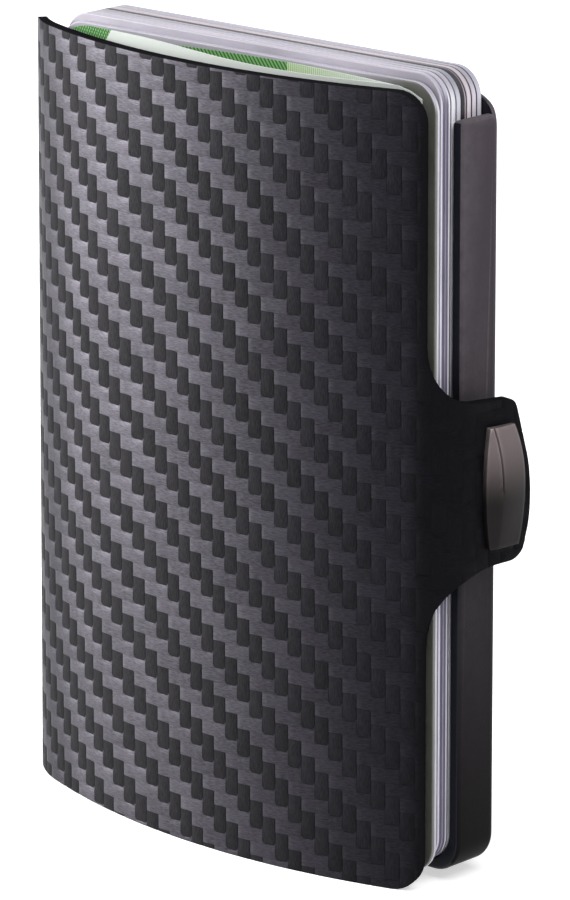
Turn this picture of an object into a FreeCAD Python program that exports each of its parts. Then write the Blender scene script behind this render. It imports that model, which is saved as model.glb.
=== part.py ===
"""Slim leather-wrapped card wallet with a folded banknote and nine cards.

Everything is drawn from one corner of the card stack: X = 0 is the right
edge of the cards, Y = 0 the back of the rear card, Z = 0 the underside of
the cards.  +Z is up, -Y is the side that carries the front cover.  At the
end each piece is moved by the same vector, which puts the origin under the
middle of the whole wallet, on the surface that it stands on.
"""
import FreeCAD, Part
import math
import os
from FreeCAD import Placement, Rotation, Vector

doc = FreeCAD.newDocument("slim_wallet")

# --------------------------------------------------------------------------
# Driving dimensions, millimetres and degrees
# --------------------------------------------------------------------------
SIZES = {
    # bank cards, the standard ID-1 format
    "card_width": 53.98,
    "card_height": 85.6,
    "card_thick": 0.76,
    "card_corner": 3.18,
    "card_gap": 0.05,
    "card_count": 9,
    "front_card_drop": 0.8,
    # tray that holds the cards
    "side_clear": 0.415,
    "back_clear": 0.05,
    "floor_clear": 0.1,
    "wall_thick": 1.2,
    "floor_thick": 1.0,
    "plate_thick": 1.2,
    "tray_depth": 4.885,
    "wall_height": 80.9,
    "left_wall_height": 79.0,
    "plate_height": 84.15,
    "tray_corner": 3.5,
    "plate_corner": 4.65,
    "plate_edge_round": 1.1,
    "window_wide": 17.0,
    "window_tall": 32.0,
    "window_low": 13.0,
    "window_margin": 1.0,
    # leaf springs that press on the left edge of the cards
    "spring_tall": 18.0,
    "spring_strip": 0.2,
    "spring_wide": 3.4,
    "spring_bow": 0.75,
    "spring_touch": 0.1,
    "recess_front": 0.6,
    "recess_margin": 0.4,
    "spring_low": 12.0,
    "spring_pitch": 36.0,
    # leather strip: its outer skin, its lining and the bond to the tray
    "skin_thick": 0.95,
    "lining_thick": 0.35,
    "bond_thick": 0.15,
    "leather_below": 2.13,
    "cover_height": 84.3,
    "back_height": 81.0,
    "back_inset": 3.6,
    "cover_corner": 3.4,
    "cover_left_corner": 2.8,
    "back_corner": 4.0,
    "hinge_gap": 0.06,
    # plan of the front cover: a shallow bulge, a curl, then the spine
    "crown_offset": 0.29,
    "crown_space": 6.76,
    "bulge_rise": 4.658,
    "cover_reach": 0.27,
    "curl_reach": 0.22,
    "curl_radius": 15.4,
    "hinge_angle": 47.0,
    # closing tab
    "tab_centre": 42.4,
    "tab_tall": 18.6,
    "tab_bend": 5.5,
    "tab_turn": 61.0,
    "tab_run": 7.64,
    "tab_bow": 2.0,
    "tab_apex": 2.5,
    "tab_end_round": 14.0,
    "tab_upper_corner": 1.3,
    "tab_lower_corner": 2.2,
    "neck_upper": 5.6,
    "neck_lower": 8.6,
    "tab_over": 1.0,
    # clasp
    "badge_start": 1.0,
    "badge_wide": 5.4,
    "badge_tall": 13.15,
    "badge_drop": 0.4,
    "badge_ridge": 1.45,
    "badge_proud": 1.2,
    "badge_edge": 0.45,
    "badge_front_bow": 0.25,
    "badge_upper_bow": 1.5,
    "badge_lower_bow": 0.8,
    "badge_over": 2.0,
    "base_thick": 0.9,
    "base_margin": 0.3,
    "magnet_radius": 1.7,
    "magnet_pitch": 6.4,
    "magnet_clear": 0.05,
    "rivet_radius": 0.5,
    "rivet_pitch": 10.8,
    "keeper_thick": 0.5,
    "keeper_wide": 3.6,
    "keeper_tall": 13.0,
    "keeper_corner": 0.8,
    "keeper_clear": 0.03,
    # spine core, the half-round rail inside the spine
    "core_clear": 0.12,
    "core_height": 79.0,
    # note clip, a hairpin of spring steel under the cover
    "clip_strip": 0.35,
    "clip_tall": 24.0,
    "clip_low": 30.0,
    "clip_leg": 7.0,
    "clip_arm": 29.0,
    "clip_clear": 0.12,
    "clip_start": 1.9,
    # folded banknote
    "note_leaf": 0.25,
    "note_clear": 0.5,
    "note_low": 3.0,
    "note_high": 85.2,
    "note_inset": 5.38,
    "note_right": 1.3,
    "note_back_right": 7.0,
    # spare that a cutting outline has beyond the piece it cuts
    "cut_over": 0.5,
}

sheet = doc.addObject("Spreadsheet::Sheet", "sizes")
for row, (alias, value) in enumerate(SIZES.items(), start=1):
    sheet.set(f"A{row}", alias)
    sheet.set(f"B{row}", str(value))
    sheet.setAlias(f"B{row}", alias)
doc.recompute()


def size(alias):
    """The value of one cell of the sheet."""
    return float(sheet.get(alias))


# --------------------------------------------------------------------------
# Sizes that follow from the driving ones
# --------------------------------------------------------------------------
CARD_COUNT = int(size("card_count"))
CARD_PITCH = size("card_thick") + size("card_gap")
STACK_FRONT = -(CARD_PITCH * (CARD_COUNT - 1) + size("card_thick"))
WALL_INNER = size("side_clear")
WALL_OUTER = WALL_INNER + size("wall_thick")
LEFT_INNER = -size("card_width") - size("side_clear")
LEFT_OUTER = LEFT_INNER - size("wall_thick")
FLOOR_TOP = -size("floor_clear")
FLOOR_BOTTOM = FLOOR_TOP - size("floor_thick")
PLATE_FRONT = size("back_clear")
PLATE_BACK = PLATE_FRONT + size("plate_thick")
LEATHER = size("skin_thick") + size("lining_thick")
BACK_FACE = PLATE_BACK + size("bond_thick") + LEATHER
LEATHER_BOTTOM = -size("leather_below")
CROWN_Y = STACK_FRONT - size("crown_space")
WINDOW_X = -size("card_width") / 2
CONTACT = 0.02      # a piece that lies on another without being bonded to it
FOLD_SHAPE = 0.3    # depth of a folded edge as a share of the fold's opening
JOIN = 1e-3         # keeps an arc or a cut from ending exactly on another one
CROWN_X = WINDOW_X + size("crown_offset")
RIGHT_SPAN = size("cover_reach") - CROWN_X
LEFT_SPAN = CROWN_X + size("card_width") + size("curl_reach")
BULGE_RADIUS = (size("bulge_rise") ** 2 + RIGHT_SPAN ** 2) / (2 * size("bulge_rise"))
COVER_RIGHT = math.degrees(math.asin(RIGHT_SPAN / BULGE_RADIUS))
COVER_LEFT = math.degrees(math.asin(LEFT_SPAN / BULGE_RADIUS))


def plan_vector(angle):
    """Unit vector that points into the wallet where the leather heads at angle."""
    turn = math.radians(angle)
    return Vector(math.sin(turn), math.cos(turn), 0)


def plan_tangent(angle):
    """Unit vector along the leather, from the tab towards the back."""
    turn = math.radians(angle)
    return Vector(-math.cos(turn), math.sin(turn), 0)


class Bend:
    """A round stretch of the leather in plan, between two headings."""

    def __init__(self, centre, radius, start, end):
        self.centre, self.radius, self.start, self.end = centre, radius, start, end

    def point(self, angle, depth):
        """The point at a heading, depth below the outer surface."""
        return self.centre - plan_vector(angle) * (self.radius - depth)

    def ends(self, depth):
        """First and last point at a depth."""
        return self.point(self.start, depth), self.point(self.end, depth)

    def edge(self, depth):
        """The stretch at a depth, as an arc."""
        first, last = self.ends(depth)
        return Part.Arc(first, self.point((self.start + self.end) / 2, depth), last)

    def part(self, start=None, end=None):
        """The same bend between other headings."""
        start = self.start if start is None else start
        end = self.end if end is None else end
        return Bend(self.centre, self.radius, start, end)


class Run:
    """A straight stretch of the leather in plan."""

    def __init__(self, start, angle, length):
        self.start, self.angle, self.length = start, angle, length

    def ends(self, depth):
        """First and last point at a depth."""
        first = self.start + plan_vector(self.angle) * depth
        return first, first + plan_tangent(self.angle) * self.length

    def edge(self, depth):
        """The stretch at a depth, as a line."""
        return Part.LineSegment(*self.ends(depth))


def leather_plan():
    """The outer surface in plan: tab run, tab bend, bulge, curl, spine, back."""
    bulge_centre = Vector(CROWN_X, CROWN_Y + BULGE_RADIUS, 0)
    bulge = Bend(bulge_centre, BULGE_RADIUS, -COVER_RIGHT, COVER_LEFT)
    right_edge, curl_from = bulge.ends(0)
    curl_centre = curl_from + plan_vector(COVER_LEFT) * size("curl_radius")
    curl = Bend(curl_centre, size("curl_radius"), COVER_LEFT, size("hinge_angle"))
    hinge = curl.ends(0)[1]
    spine_radius = (BACK_FACE - hinge.y) / (1 + math.cos(math.radians(size("hinge_angle"))))
    spine_centre = hinge + plan_vector(size("hinge_angle")) * spine_radius
    spine = Bend(spine_centre, spine_radius, size("hinge_angle"), 180.0)
    back_from = spine.ends(0)[1]
    back = Run(back_from, 180.0, WALL_OUTER - size("back_inset") - back_from.x)
    tab_from = -COVER_RIGHT - size("tab_turn")
    bend_centre = right_edge + plan_vector(-COVER_RIGHT) * size("tab_bend")
    tab_bend = Bend(bend_centre, size("tab_bend"), tab_from, -COVER_RIGHT)
    run_end = tab_bend.ends(0)[0]
    tab_run = Run(run_end - plan_tangent(tab_from) * size("tab_run"), tab_from, size("tab_run"))
    return tab_run, tab_bend, bulge, curl, spine, back


TAB_RUN, TAB_BEND, BULGE, CURL, SPINE, BACK = leather_plan()
RIGHT_EDGE = BULGE.ends(0)[0]
HINGE = CURL.ends(0)[1]


def tab_point(along, depth):
    """A point on the straight of the tab: along it from its bend, depth below its skin."""
    start = TAB_BEND.ends(0)[0]
    return start - plan_tangent(TAB_RUN.angle) * along + plan_vector(TAB_RUN.angle) * depth


CLASP_MIDDLE = size("tab_centre") - size("badge_drop")
CLASP_LOW = CLASP_MIDDLE - size("badge_tall") / 2
BADGE_RIDGE_X = tab_point(size("badge_start") + size("badge_ridge"), -size("badge_proud")).x
LEFT_EXTENT = SPINE.centre.x - SPINE.radius
SHIFT = Vector(-(LEFT_EXTENT + BADGE_RIDGE_X) / 2, -(CROWN_Y + BACK_FACE) / 2, -LEATHER_BOTTOM)

# --------------------------------------------------------------------------
# Drawing helpers
# --------------------------------------------------------------------------
PIECES = []


def new_body(name, lift=Vector(0, 0, 0)):
    """An empty body in its place, listed for export."""
    body = doc.addObject("PartDesign::Body", name)
    body.Label = name
    body.Placement = Placement(SHIFT + lift, Rotation())
    PIECES.append(body)
    return body


def sketch_on(body, role, outlines, offset=0.0):
    """A sketch of closed outlines on one of the body's own planes.

    On XY_Plane a point is (X, Y), on XZ_Plane (X, Z) and on YZ_Plane (Y, Z).
    The offset runs along the plane's normal: +Z, -Y or +X.
    """
    plane = [item for item in body.Origin.OriginFeatures if item.Role == role][0]
    sketch = body.newObject("Sketcher::SketchObject", body.Name + "_sketch")
    sketch.AttachmentSupport = [(plane, "")]
    sketch.MapMode = "FlatFace"
    sketch.AttachmentOffset = Placement(Vector(0, 0, offset), Rotation())
    for outline in outlines:
        sketch.addGeometry(outline, False)
    return sketch


def pad(body, sketch, length, reverse=False):
    """A pad whose length is an expression on the sheet."""
    feature = body.newObject("PartDesign::Pad", body.Name + "_pad")
    feature.Profile = sketch
    feature.setExpression("Length", length)
    feature.Reversed = reverse
    body.Tip = feature
    doc.recompute()
    return feature


def pocket(body, sketch, length=None, reverse=False):
    """A pocket as deep as an expression, or right through both ways."""
    before = body.Shape.Volume
    feature = body.newObject("PartDesign::Pocket", body.Name + "_pocket")
    feature.Profile = sketch
    if length is None:
        feature.SideType = "Two sides"
        feature.Type = "ThroughAll"
        feature.Type2 = "ThroughAll"
    else:
        feature.setExpression("Length", length)
        feature.Reversed = reverse
    body.Tip = feature
    doc.recompute()
    if not body.Shape.Volume < before - 1e-6:
        raise RuntimeError(f"the pocket {feature.Name} cuts nothing")
    return feature


def polygon(points):
    """Line segments round a closed list of (x, y) points."""
    corners = [Vector(x, y, 0) for x, y in points]
    return [Part.LineSegment(a, b) for a, b in zip(corners, corners[1:] + corners[:1])]


def rounded(points):
    """A closed outline of (x, y, radius) corners, each radius drawn as an arc."""
    corners = [(Vector(x, y, 0), radius) for x, y, radius in points]
    spans = []
    for index, (corner, radius) in enumerate(corners):
        back = (corners[index - 1][0] - corner).normalize()
        ahead = (corners[(index + 1) % len(corners)][0] - corner).normalize()
        half = back.getAngle(ahead) / 2
        reach = radius / math.tan(half)
        middle = corner + (back + ahead).normalize() * (radius / math.sin(half) - radius)
        spans.append((corner + back * reach, middle, corner + ahead * reach, radius))
    outline = []
    for index, (start, middle, end, radius) in enumerate(spans):
        if radius > 0:
            outline.append(Part.Arc(start, middle, end))
        following = spans[(index + 1) % len(spans)][0]
        if (following - end).Length > 1e-6:
            outline.append(Part.LineSegment(end, following))
    return outline


def nick(corner_x, corner_y, side_x, side_y, radius):
    """The scrap that a rounded corner leaves: side_x and side_y point into the piece."""
    over = size("cut_over")
    inner = Vector(corner_x + side_x * radius, corner_y + side_y * radius, 0)
    low = Vector(inner.x, corner_y, 0)
    wide = Vector(corner_x, inner.y, 0)
    middle = inner - Vector(side_x, side_y, 0).normalize() * radius
    out_x, out_y = corner_x - side_x * over, corner_y - side_y * over
    return [
        Part.Arc(low, middle, wide),
        Part.LineSegment(wide, Vector(out_x, wide.y, 0)),
        Part.LineSegment(Vector(out_x, wide.y, 0), Vector(out_x, out_y, 0)),
        Part.LineSegment(Vector(out_x, out_y, 0), Vector(low.x, out_y, 0)),
        Part.LineSegment(Vector(low.x, out_y, 0), low),
    ]


def band(stretches, near, far):
    """The closed plan outline of a strip between two depths along some stretches."""
    outline = [stretch.edge(near) for stretch in stretches]
    outline += [stretch.edge(far) for stretch in stretches]
    outline.append(Part.LineSegment(stretches[0].ends(near)[0], stretches[0].ends(far)[0]))
    outline.append(Part.LineSegment(stretches[-1].ends(near)[1], stretches[-1].ends(far)[1]))
    return outline


def window_outline(margin):
    """The thumb window, round-ended, as wide as the window plus a margin."""
    half = size("window_wide") / 2 + margin
    low = size("window_low") - margin
    high = size("window_low") + size("window_tall") + margin
    near_round = half - JOIN
    return rounded([
        (WINDOW_X - half, low, near_round), (WINDOW_X + half, low, near_round),
        (WINDOW_X + half, high, near_round), (WINDOW_X - half, high, near_round),
    ])


# --------------------------------------------------------------------------
# Card tray
# --------------------------------------------------------------------------
def card_tray():
    """Back plate with side walls and a floor, open at the top and the front."""
    body = new_body("card_tray")
    corner = size("tray_corner")
    plate = rounded([
        (LEFT_OUTER, FLOOR_BOTTOM, corner), (WALL_OUTER, FLOOR_BOTTOM, corner),
        (WALL_OUTER, size("plate_height"), size("plate_corner")),
        (LEFT_OUTER, size("plate_height"), size("plate_corner")),
    ])
    plate_sketch = sketch_on(body, "XZ_Plane", [plate], -PLATE_FRONT)
    plate_pad = pad(body, plate_sketch, "sizes.plate_thick", True)
    rim = [
        f"Edge{number}" for number, edge in enumerate(body.Shape.Edges, start=1)
        if all(abs(vertex.Y - SHIFT.y - PLATE_BACK) < 1e-4 for vertex in edge.Vertexes)
    ]
    round_rim = body.newObject("PartDesign::Fillet", "plate_rim")
    round_rim.Base = (plate_pad, rim)
    round_rim.setExpression("Radius", "sizes.plate_edge_round")
    body.Tip = round_rim
    doc.recompute()
    inner = size("card_corner") + size("side_clear")
    right_top, left_top = size("wall_height"), size("left_wall_height")
    walls = rounded([
        (WALL_OUTER, right_top, 0), (WALL_OUTER, FLOOR_BOTTOM, corner),
        (LEFT_OUTER, FLOOR_BOTTOM, corner), (LEFT_OUTER, left_top, 0),
        (LEFT_INNER, left_top, 0), (LEFT_INNER, FLOOR_TOP, inner),
        (WALL_INNER, FLOOR_TOP, inner), (WALL_INNER, right_top, 0),
    ])
    wall_sketch = sketch_on(body, "XZ_Plane", [walls], -PLATE_FRONT)
    pad(body, wall_sketch, "sizes.tray_depth + sizes.back_clear")
    pocket(body, sketch_on(body, "XZ_Plane", [window_outline(0.0)]))
    pocket(body, sketch_on(body, "YZ_Plane", [keeper_outline(size("keeper_clear"))], WALL_OUTER),
           "sizes.keeper_thick")
    margin, recess_front = size("recess_margin"), size("recess_front") - size("tray_depth")
    for low in spring_places():
        high = low + size("spring_tall") + margin
        recess = polygon([(recess_front, low - margin), (-margin, low - margin),
                          (-margin, high), (recess_front, high)])
        pocket(body, sketch_on(body, "YZ_Plane", [recess], LEFT_INNER), "sizes.spring_bow")
    return body


def keeper_outline(margin):
    """The steel keeper under the clasp, seen from the side."""
    middle = -size("tray_depth") / 2
    half_wide = size("keeper_wide") / 2 + margin
    half_tall = size("keeper_tall") / 2 + margin
    low, high = CLASP_MIDDLE - half_tall, CLASP_MIDDLE + half_tall
    corner = size("keeper_corner")
    return rounded([
        (middle - half_wide, low, corner), (middle + half_wide, low, corner),
        (middle + half_wide, high, corner), (middle - half_wide, high, corner),
    ])


def keeper_plate():
    """Steel plate let into the right wall, which the clasp's magnets hold on to."""
    body = new_body("keeper_plate")
    sketch = sketch_on(body, "YZ_Plane", [keeper_outline(0.0)], WALL_OUTER)
    pad(body, sketch, "sizes.keeper_thick", True)


def spring_places():
    """The lower ends of the two leaf springs."""
    return [size("spring_low"), size("spring_low") + size("spring_pitch")]


def edge_spring(name, low):
    """A bowed leaf in the left wall's recess, its middle against the cards' edges."""
    body = new_body(name)
    strip, tall = size("spring_strip"), size("spring_tall")
    seat_x = LEFT_INNER - size("spring_bow")
    bow_x = -size("card_width") - size("spring_touch") - strip
    ends = Vector(seat_x, low, 0), Vector(seat_x, low + tall, 0)
    middle = Vector(bow_x, low + tall / 2, 0)
    across = Vector(strip, 0, 0)
    outline = [
        Part.Arc(ends[0], middle, ends[1]),
        Part.LineSegment(ends[1], ends[1] + across),
        Part.Arc(ends[1] + across, middle + across, ends[0] + across),
        Part.LineSegment(ends[0] + across, ends[0]),
    ]
    sketch = sketch_on(body, "XZ_Plane", [outline], size("tray_depth") / 2 - size("spring_wide") / 2)
    pad(body, sketch, "sizes.spring_wide")


def spine_core():
    """Half-round rail that fills the spine behind the tray's left wall."""
    body = new_body("spine_core")
    radius = SPINE.radius - LEATHER - size("core_clear")
    flat_x = LEFT_OUTER - size("core_clear")
    rise = math.sqrt(radius ** 2 - (flat_x - SPINE.centre.x) ** 2)
    high = Vector(flat_x, min(SPINE.centre.y + rise, PLATE_BACK), 0)
    low = Vector(flat_x, SPINE.centre.y - rise, 0)
    outline = [
        Part.Arc(low, SPINE.centre - Vector(radius, 0, 0), high),
        Part.LineSegment(high, low),
    ]
    pad(body, sketch_on(body, "XY_Plane", [outline]), "sizes.core_height")


# --------------------------------------------------------------------------
# Leather strip: back with spine, front cover and tab, each with its lining
# --------------------------------------------------------------------------
def gap_angle(bend):
    """The heading that the hinge gap takes up on a bend."""
    return math.degrees(size("hinge_gap") / bend.radius)


def back_piece(name, near, far, right_cut):
    """One layer of the leather round the spine and over the back."""
    body = new_body(name)
    spine = SPINE.part(start=SPINE.start + gap_angle(SPINE))
    outline = band([spine, BACK], near, far)
    sketch = sketch_on(body, "XY_Plane", [outline], LEATHER_BOTTOM)
    pad(body, sketch, "sizes.back_height + sizes.leather_below")
    right_x, corner = BACK.ends(0)[1].x, size("back_corner")
    scraps = [
        nick(right_x, size("back_height"), -1, -1, corner),
        nick(right_x, LEATHER_BOTTOM, -1, 1, corner),
    ]
    for scrap in scraps:
        pocket(body, sketch_on(body, "XZ_Plane", [scrap]))
    pocket(body, sketch_on(body, "XZ_Plane", [window_outline(right_cut)]))


def bond_film():
    """Adhesive film between the tray's back plate and the lining."""
    body = new_body("bond_film")
    edge = size("plate_edge_round")
    right = min(BACK.ends(0)[1].x, WALL_OUTER - edge)
    outline = rounded([
        (LEFT_OUTER + edge, edge, edge), (right, edge, edge),
        (right, size("back_height") - edge, edge),
        (LEFT_OUTER + edge, size("back_height") - edge, edge),
    ])
    sketch = sketch_on(body, "XZ_Plane", [outline], -PLATE_BACK)
    pad(body, sketch, "sizes.bond_thick", True)
    pocket(body, sketch_on(body, "XZ_Plane", [window_outline(size("window_margin"))]))


def front_piece(name, near, far):
    """One layer of the front cover, from its free edge to the hinge line."""
    body = new_body(name)
    curl = CURL.part(end=CURL.end - gap_angle(CURL))
    sketch = sketch_on(body, "XY_Plane", [band([BULGE, curl], near, far)], LEATHER_BOTTOM)
    pad(body, sketch, "sizes.cover_height + sizes.leather_below")
    right_x = RIGHT_EDGE.x + JOIN
    corner, top = size("cover_corner"), size("cover_height")
    scraps = [
        nick(right_x, top, -1, -1, corner),
        nick(right_x, LEATHER_BOTTOM, -1, 1, corner),
        nick(HINGE.x, top, 1, -1, size("cover_left_corner")),
    ]
    for scrap in scraps:
        pocket(body, sketch_on(body, "XZ_Plane", [scrap]))


def tab_piece(name, near, far):
    """One layer of the closing tab, flared where it leaves the cover."""
    body = new_body(name)
    bend = TAB_BEND.part(end=TAB_BEND.end - gap_angle(TAB_BEND))
    middle, half = size("tab_centre"), size("tab_tall") / 2
    upper, lower = size("neck_upper"), size("neck_lower")
    low, high = middle - half - lower, middle + half + upper
    sketch = sketch_on(body, "XY_Plane", [band([TAB_RUN, bend], near, far)], low)
    pad(body, sketch, "sizes.tab_tall + sizes.neck_upper + sizes.neck_lower")
    neck_y, over = RIGHT_EDGE.y, size("tab_over")
    over_y = BACK_FACE + over
    upper_scrap = [
        Part.Arc(Vector(neck_y, high, 0),
                 Vector(neck_y + upper * (1 - math.sqrt(0.5)), high - upper * math.sqrt(0.5), 0),
                 Vector(neck_y + upper, high - upper, 0)),
    ] + chain([(neck_y + upper, high - upper), (over_y, high - upper),
               (over_y, high + over), (neck_y, high + over), (neck_y, high)])
    lower_scrap = [
        Part.Arc(Vector(neck_y, low, 0),
                 Vector(neck_y + lower * (1 - math.sqrt(0.5)), low + lower * math.sqrt(0.5), 0),
                 Vector(neck_y + lower, low + lower, 0)),
    ] + chain([(neck_y + lower, low + lower), (over_y, low + lower),
               (over_y, low - over), (neck_y, low - over), (neck_y, low)])
    end_y = max(TAB_RUN.ends(0)[0].y, TAB_RUN.ends(LEATHER)[0].y)
    corner_y = end_y - size("tab_bow")
    from_y = corner_y - size("tab_bow")
    end_scrap = rounded([
        (from_y, middle + half + over, 0), (end_y + over, middle + half + over, 0),
        (end_y + over, middle - half - over, 0), (from_y, middle - half - over, 0),
        (from_y, middle - half, 0), (corner_y, middle - half, size("tab_lower_corner")),
        (corner_y + size("tab_apex"), middle, size("tab_end_round")),
        (corner_y, middle + half, size("tab_upper_corner")), (from_y, middle + half, 0),
    ])
    for scrap in (upper_scrap, lower_scrap, end_scrap):
        pocket(body, sketch_on(body, "YZ_Plane", [scrap]))
    hole = size("rivet_radius")
    for rivet_z in rivet_heights():
        drill_across(body, tab_point(badge_middle(), 0), rivet_z, hole)


def chain(points):
    """Line segments along an open list of (x, y) points."""
    places = [Vector(x, y, 0) for x, y in points]
    return [Part.LineSegment(a, b) for a, b in zip(places, places[1:])]


def drill_across(body, place, height, radius):
    """A hole through a tab layer, square to the tab, for a rivet."""
    drill = doc.addObject("PartDesign::SubtractiveCylinder", body.Name + "_hole")
    body.addObject(drill)
    reach = size("tab_run")
    drill.Radius = radius
    drill.Height = 2 * reach
    inward = plan_vector(TAB_RUN.angle)
    start = place - inward * reach + Vector(0, 0, height)
    drill.Placement = Placement(start, Rotation(Vector(0, 0, 1), inward))
    body.Tip = drill
    doc.recompute()


# --------------------------------------------------------------------------
# Clasp on the tab
# --------------------------------------------------------------------------
def badge_middle():
    """Distance from the tab's bend to the middle of the badge."""
    return size("badge_start") + size("badge_wide") / 2


def rivet_heights():
    """Heights of the two rivets that join the badge to its base."""
    half = size("rivet_pitch") / 2
    return [CLASP_MIDDLE - half, CLASP_MIDDLE + half]


def clasp_badge():
    """Outer plate of the clasp: two facets that meet in a ridge."""
    body = new_body("clasp_badge")
    start, ridge = size("badge_start"), size("badge_start") + size("badge_ridge")
    end = size("badge_start") + size("badge_wide")
    corners = [tab_point(start, 0), tab_point(start, -size("badge_edge")),
               tab_point(ridge, -size("badge_proud")), tab_point(end, -size("badge_edge")),
               tab_point(end, 0)]
    outline = polygon([(point.x, point.y) for point in corners])
    pad(body, sketch_on(body, "XY_Plane", [outline], CLASP_LOW), "sizes.badge_tall")
    high, over = CLASP_LOW + size("badge_tall"), size("badge_over")
    front, rear = corners[1].y, corners[4].y
    sides = [(front, 1, size("badge_front_bow"), size("badge_front_bow")),
             (rear, -1, size("badge_upper_bow"), size("badge_lower_bow"))]
    for edge_y, side, upper_bow, lower_bow in sides:
        upper = Vector(edge_y + side * upper_bow, high, 0)
        lower = Vector(edge_y + side * lower_bow, CLASP_LOW, 0)
        outer_y = edge_y - side * over
        scrap = [Part.Arc(upper, Vector(edge_y, CLASP_MIDDLE, 0), lower)] + chain([
            (lower.x, lower.y), (lower.x, CLASP_LOW - over), (outer_y, CLASP_LOW - over),
            (outer_y, high + over), (upper.x, high + over), (upper.x, upper.y)])
        pocket(body, sketch_on(body, "YZ_Plane", [scrap]))


def clasp_base():
    """Inner plate of the clasp, with a hole for each magnet and each rivet."""
    body = new_body("clasp_base")
    margin, near = size("base_margin"), LEATHER
    far = LEATHER + size("base_thick")
    start = size("badge_start") + margin
    end = size("badge_start") + size("badge_wide") - margin
    corners = [tab_point(start, near), tab_point(end, near), tab_point(end, far),
               tab_point(start, far)]
    outline = polygon([(point.x, point.y) for point in corners])
    pad(body, sketch_on(body, "XY_Plane", [outline], CLASP_LOW), "sizes.badge_tall")
    for height in magnet_heights():
        drill_across(body, tab_point(badge_middle(), 0), height,
                     size("magnet_radius") + size("magnet_clear"))
    for height in rivet_heights():
        drill_across(body, tab_point(badge_middle(), 0), height, size("rivet_radius"))


def magnet_heights():
    """Heights of the two magnets in the clasp's base."""
    half = size("magnet_pitch") / 2
    return [CLASP_MIDDLE - half, CLASP_MIDDLE + half]


def cross_pins(name, radius_alias, heights, near, far):
    """Round pins square to the tab, between two depths, as one group."""
    inward = plan_vector(TAB_RUN.angle)
    pins = []
    for number, height in enumerate(heights, start=1):
        pin = doc.addObject("Part::Cylinder", f"{name}_{number}")
        pin.setExpression("Radius", f"sizes.{radius_alias}")
        pin.Height = far - near
        place = tab_point(badge_middle(), near) + Vector(0, 0, height)
        pin.Placement = Placement(place, Rotation(Vector(0, 0, 1), inward))
        pins.append(pin)
    group = doc.addObject("Part::Compound", name)
    group.Label = name
    group.Links = pins
    group.Placement = Placement(SHIFT, Rotation())
    PIECES.append(group)


# --------------------------------------------------------------------------
# Note clip and banknote under the cover
# --------------------------------------------------------------------------
def bulge_heading(distance_left, depth):
    """The bulge's heading at a distance left of the cards' right edge, at a depth."""
    radius = BULGE_RADIUS - depth
    return math.degrees(math.asin((distance_left + CROWN_X) / radius))


def note_clip():
    """Hairpin of spring steel: one leg under the cover's lining, one along the cards."""
    body = new_body("note_clip")
    strip, clear = size("clip_strip"), size("clip_clear")
    left_x = -size("card_width") + size("clip_start")
    near, far = LEATHER + CONTACT, LEATHER + CONTACT + strip
    leg_left = bulge_heading(-left_x, near)
    leg_right = bulge_heading(-left_x - size("clip_leg"), near)
    leg = BULGE.part(start=leg_right, end=leg_left)
    arm_back = STACK_FRONT - clear
    arm_front = arm_back - strip
    arm_right = left_x + size("clip_arm")
    leg_out, leg_in = leg.ends(near), leg.ends(far)
    nose = left_x - FOLD_SHAPE * (arm_back - leg_out[1].y)
    middle_y = (leg_out[1].y + arm_back) / 2
    outline = [
        leg.edge(near),
        Part.Arc(leg_out[1], Vector(nose, middle_y, 0), Vector(left_x, arm_back, 0)),
        Part.LineSegment(Vector(left_x, arm_back, 0), Vector(arm_right, arm_back, 0)),
        Part.LineSegment(Vector(arm_right, arm_back, 0), Vector(arm_right, arm_front, 0)),
        Part.LineSegment(Vector(arm_right, arm_front, 0), Vector(left_x, arm_front, 0)),
        Part.Arc(Vector(left_x, arm_front, 0), Vector(nose + strip, middle_y, 0), leg_in[1]),
        leg.edge(far),
        Part.LineSegment(leg_in[0], leg_out[0]),
    ]
    pad(body, sketch_on(body, "XY_Plane", [outline], size("clip_low")), "sizes.clip_tall")


def banknote():
    """A note folded once: the front leaf follows the cover, the back leaf the cards."""
    body = new_body("banknote")
    leaf = size("note_leaf")
    near = LEATHER + size("note_clear")
    far = near + leaf
    front = BULGE.part(start=bulge_heading(size("note_right"), near),
                       end=bulge_heading(size("card_width") - size("note_inset"), near))
    back_rear = STACK_FRONT - size("clip_clear") * 2 - size("clip_strip")
    back_front = back_rear - leaf
    front_out, front_in = front.ends(near), front.ends(far)
    left_x = front_out[1].x
    back_right = -size("note_back_right")
    fold = left_x - FOLD_SHAPE * (back_rear - front_out[1].y)
    middle_y = (front_out[1].y + back_rear) / 2
    outline = [
        front.edge(near),
        Part.Arc(front_out[1], Vector(fold, middle_y, 0), Vector(left_x, back_rear, 0)),
        Part.LineSegment(Vector(left_x, back_rear, 0), Vector(back_right, back_rear, 0)),
        Part.LineSegment(Vector(back_right, back_rear, 0), Vector(back_right, back_front, 0)),
        Part.LineSegment(Vector(back_right, back_front, 0), Vector(left_x, back_front, 0)),
        Part.Arc(Vector(left_x, back_front, 0), Vector(fold + leaf, middle_y, 0), front_in[1]),
        front.edge(far),
        Part.LineSegment(front_in[0], front_out[0]),
    ]
    sketch = sketch_on(body, "XY_Plane", [outline], size("note_low"))
    pad(body, sketch, "sizes.note_high - sizes.note_low")


# --------------------------------------------------------------------------
# Cards
# --------------------------------------------------------------------------
def card(number):
    """One card, counted from the front of the stack."""
    rear_y = -CARD_PITCH * (CARD_COUNT - number)
    drop = size("front_card_drop") if number == 1 else 0.0
    body = new_body(f"card_{number}", Vector(0, rear_y, -drop))
    corner = size("card_corner")
    left, top = -size("card_width"), size("card_height")
    outline = rounded([(left, 0, corner), (0, 0, corner), (0, top, corner), (left, top, corner)])
    pad(body, sketch_on(body, "XZ_Plane", [outline]), "sizes.card_thick")


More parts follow.
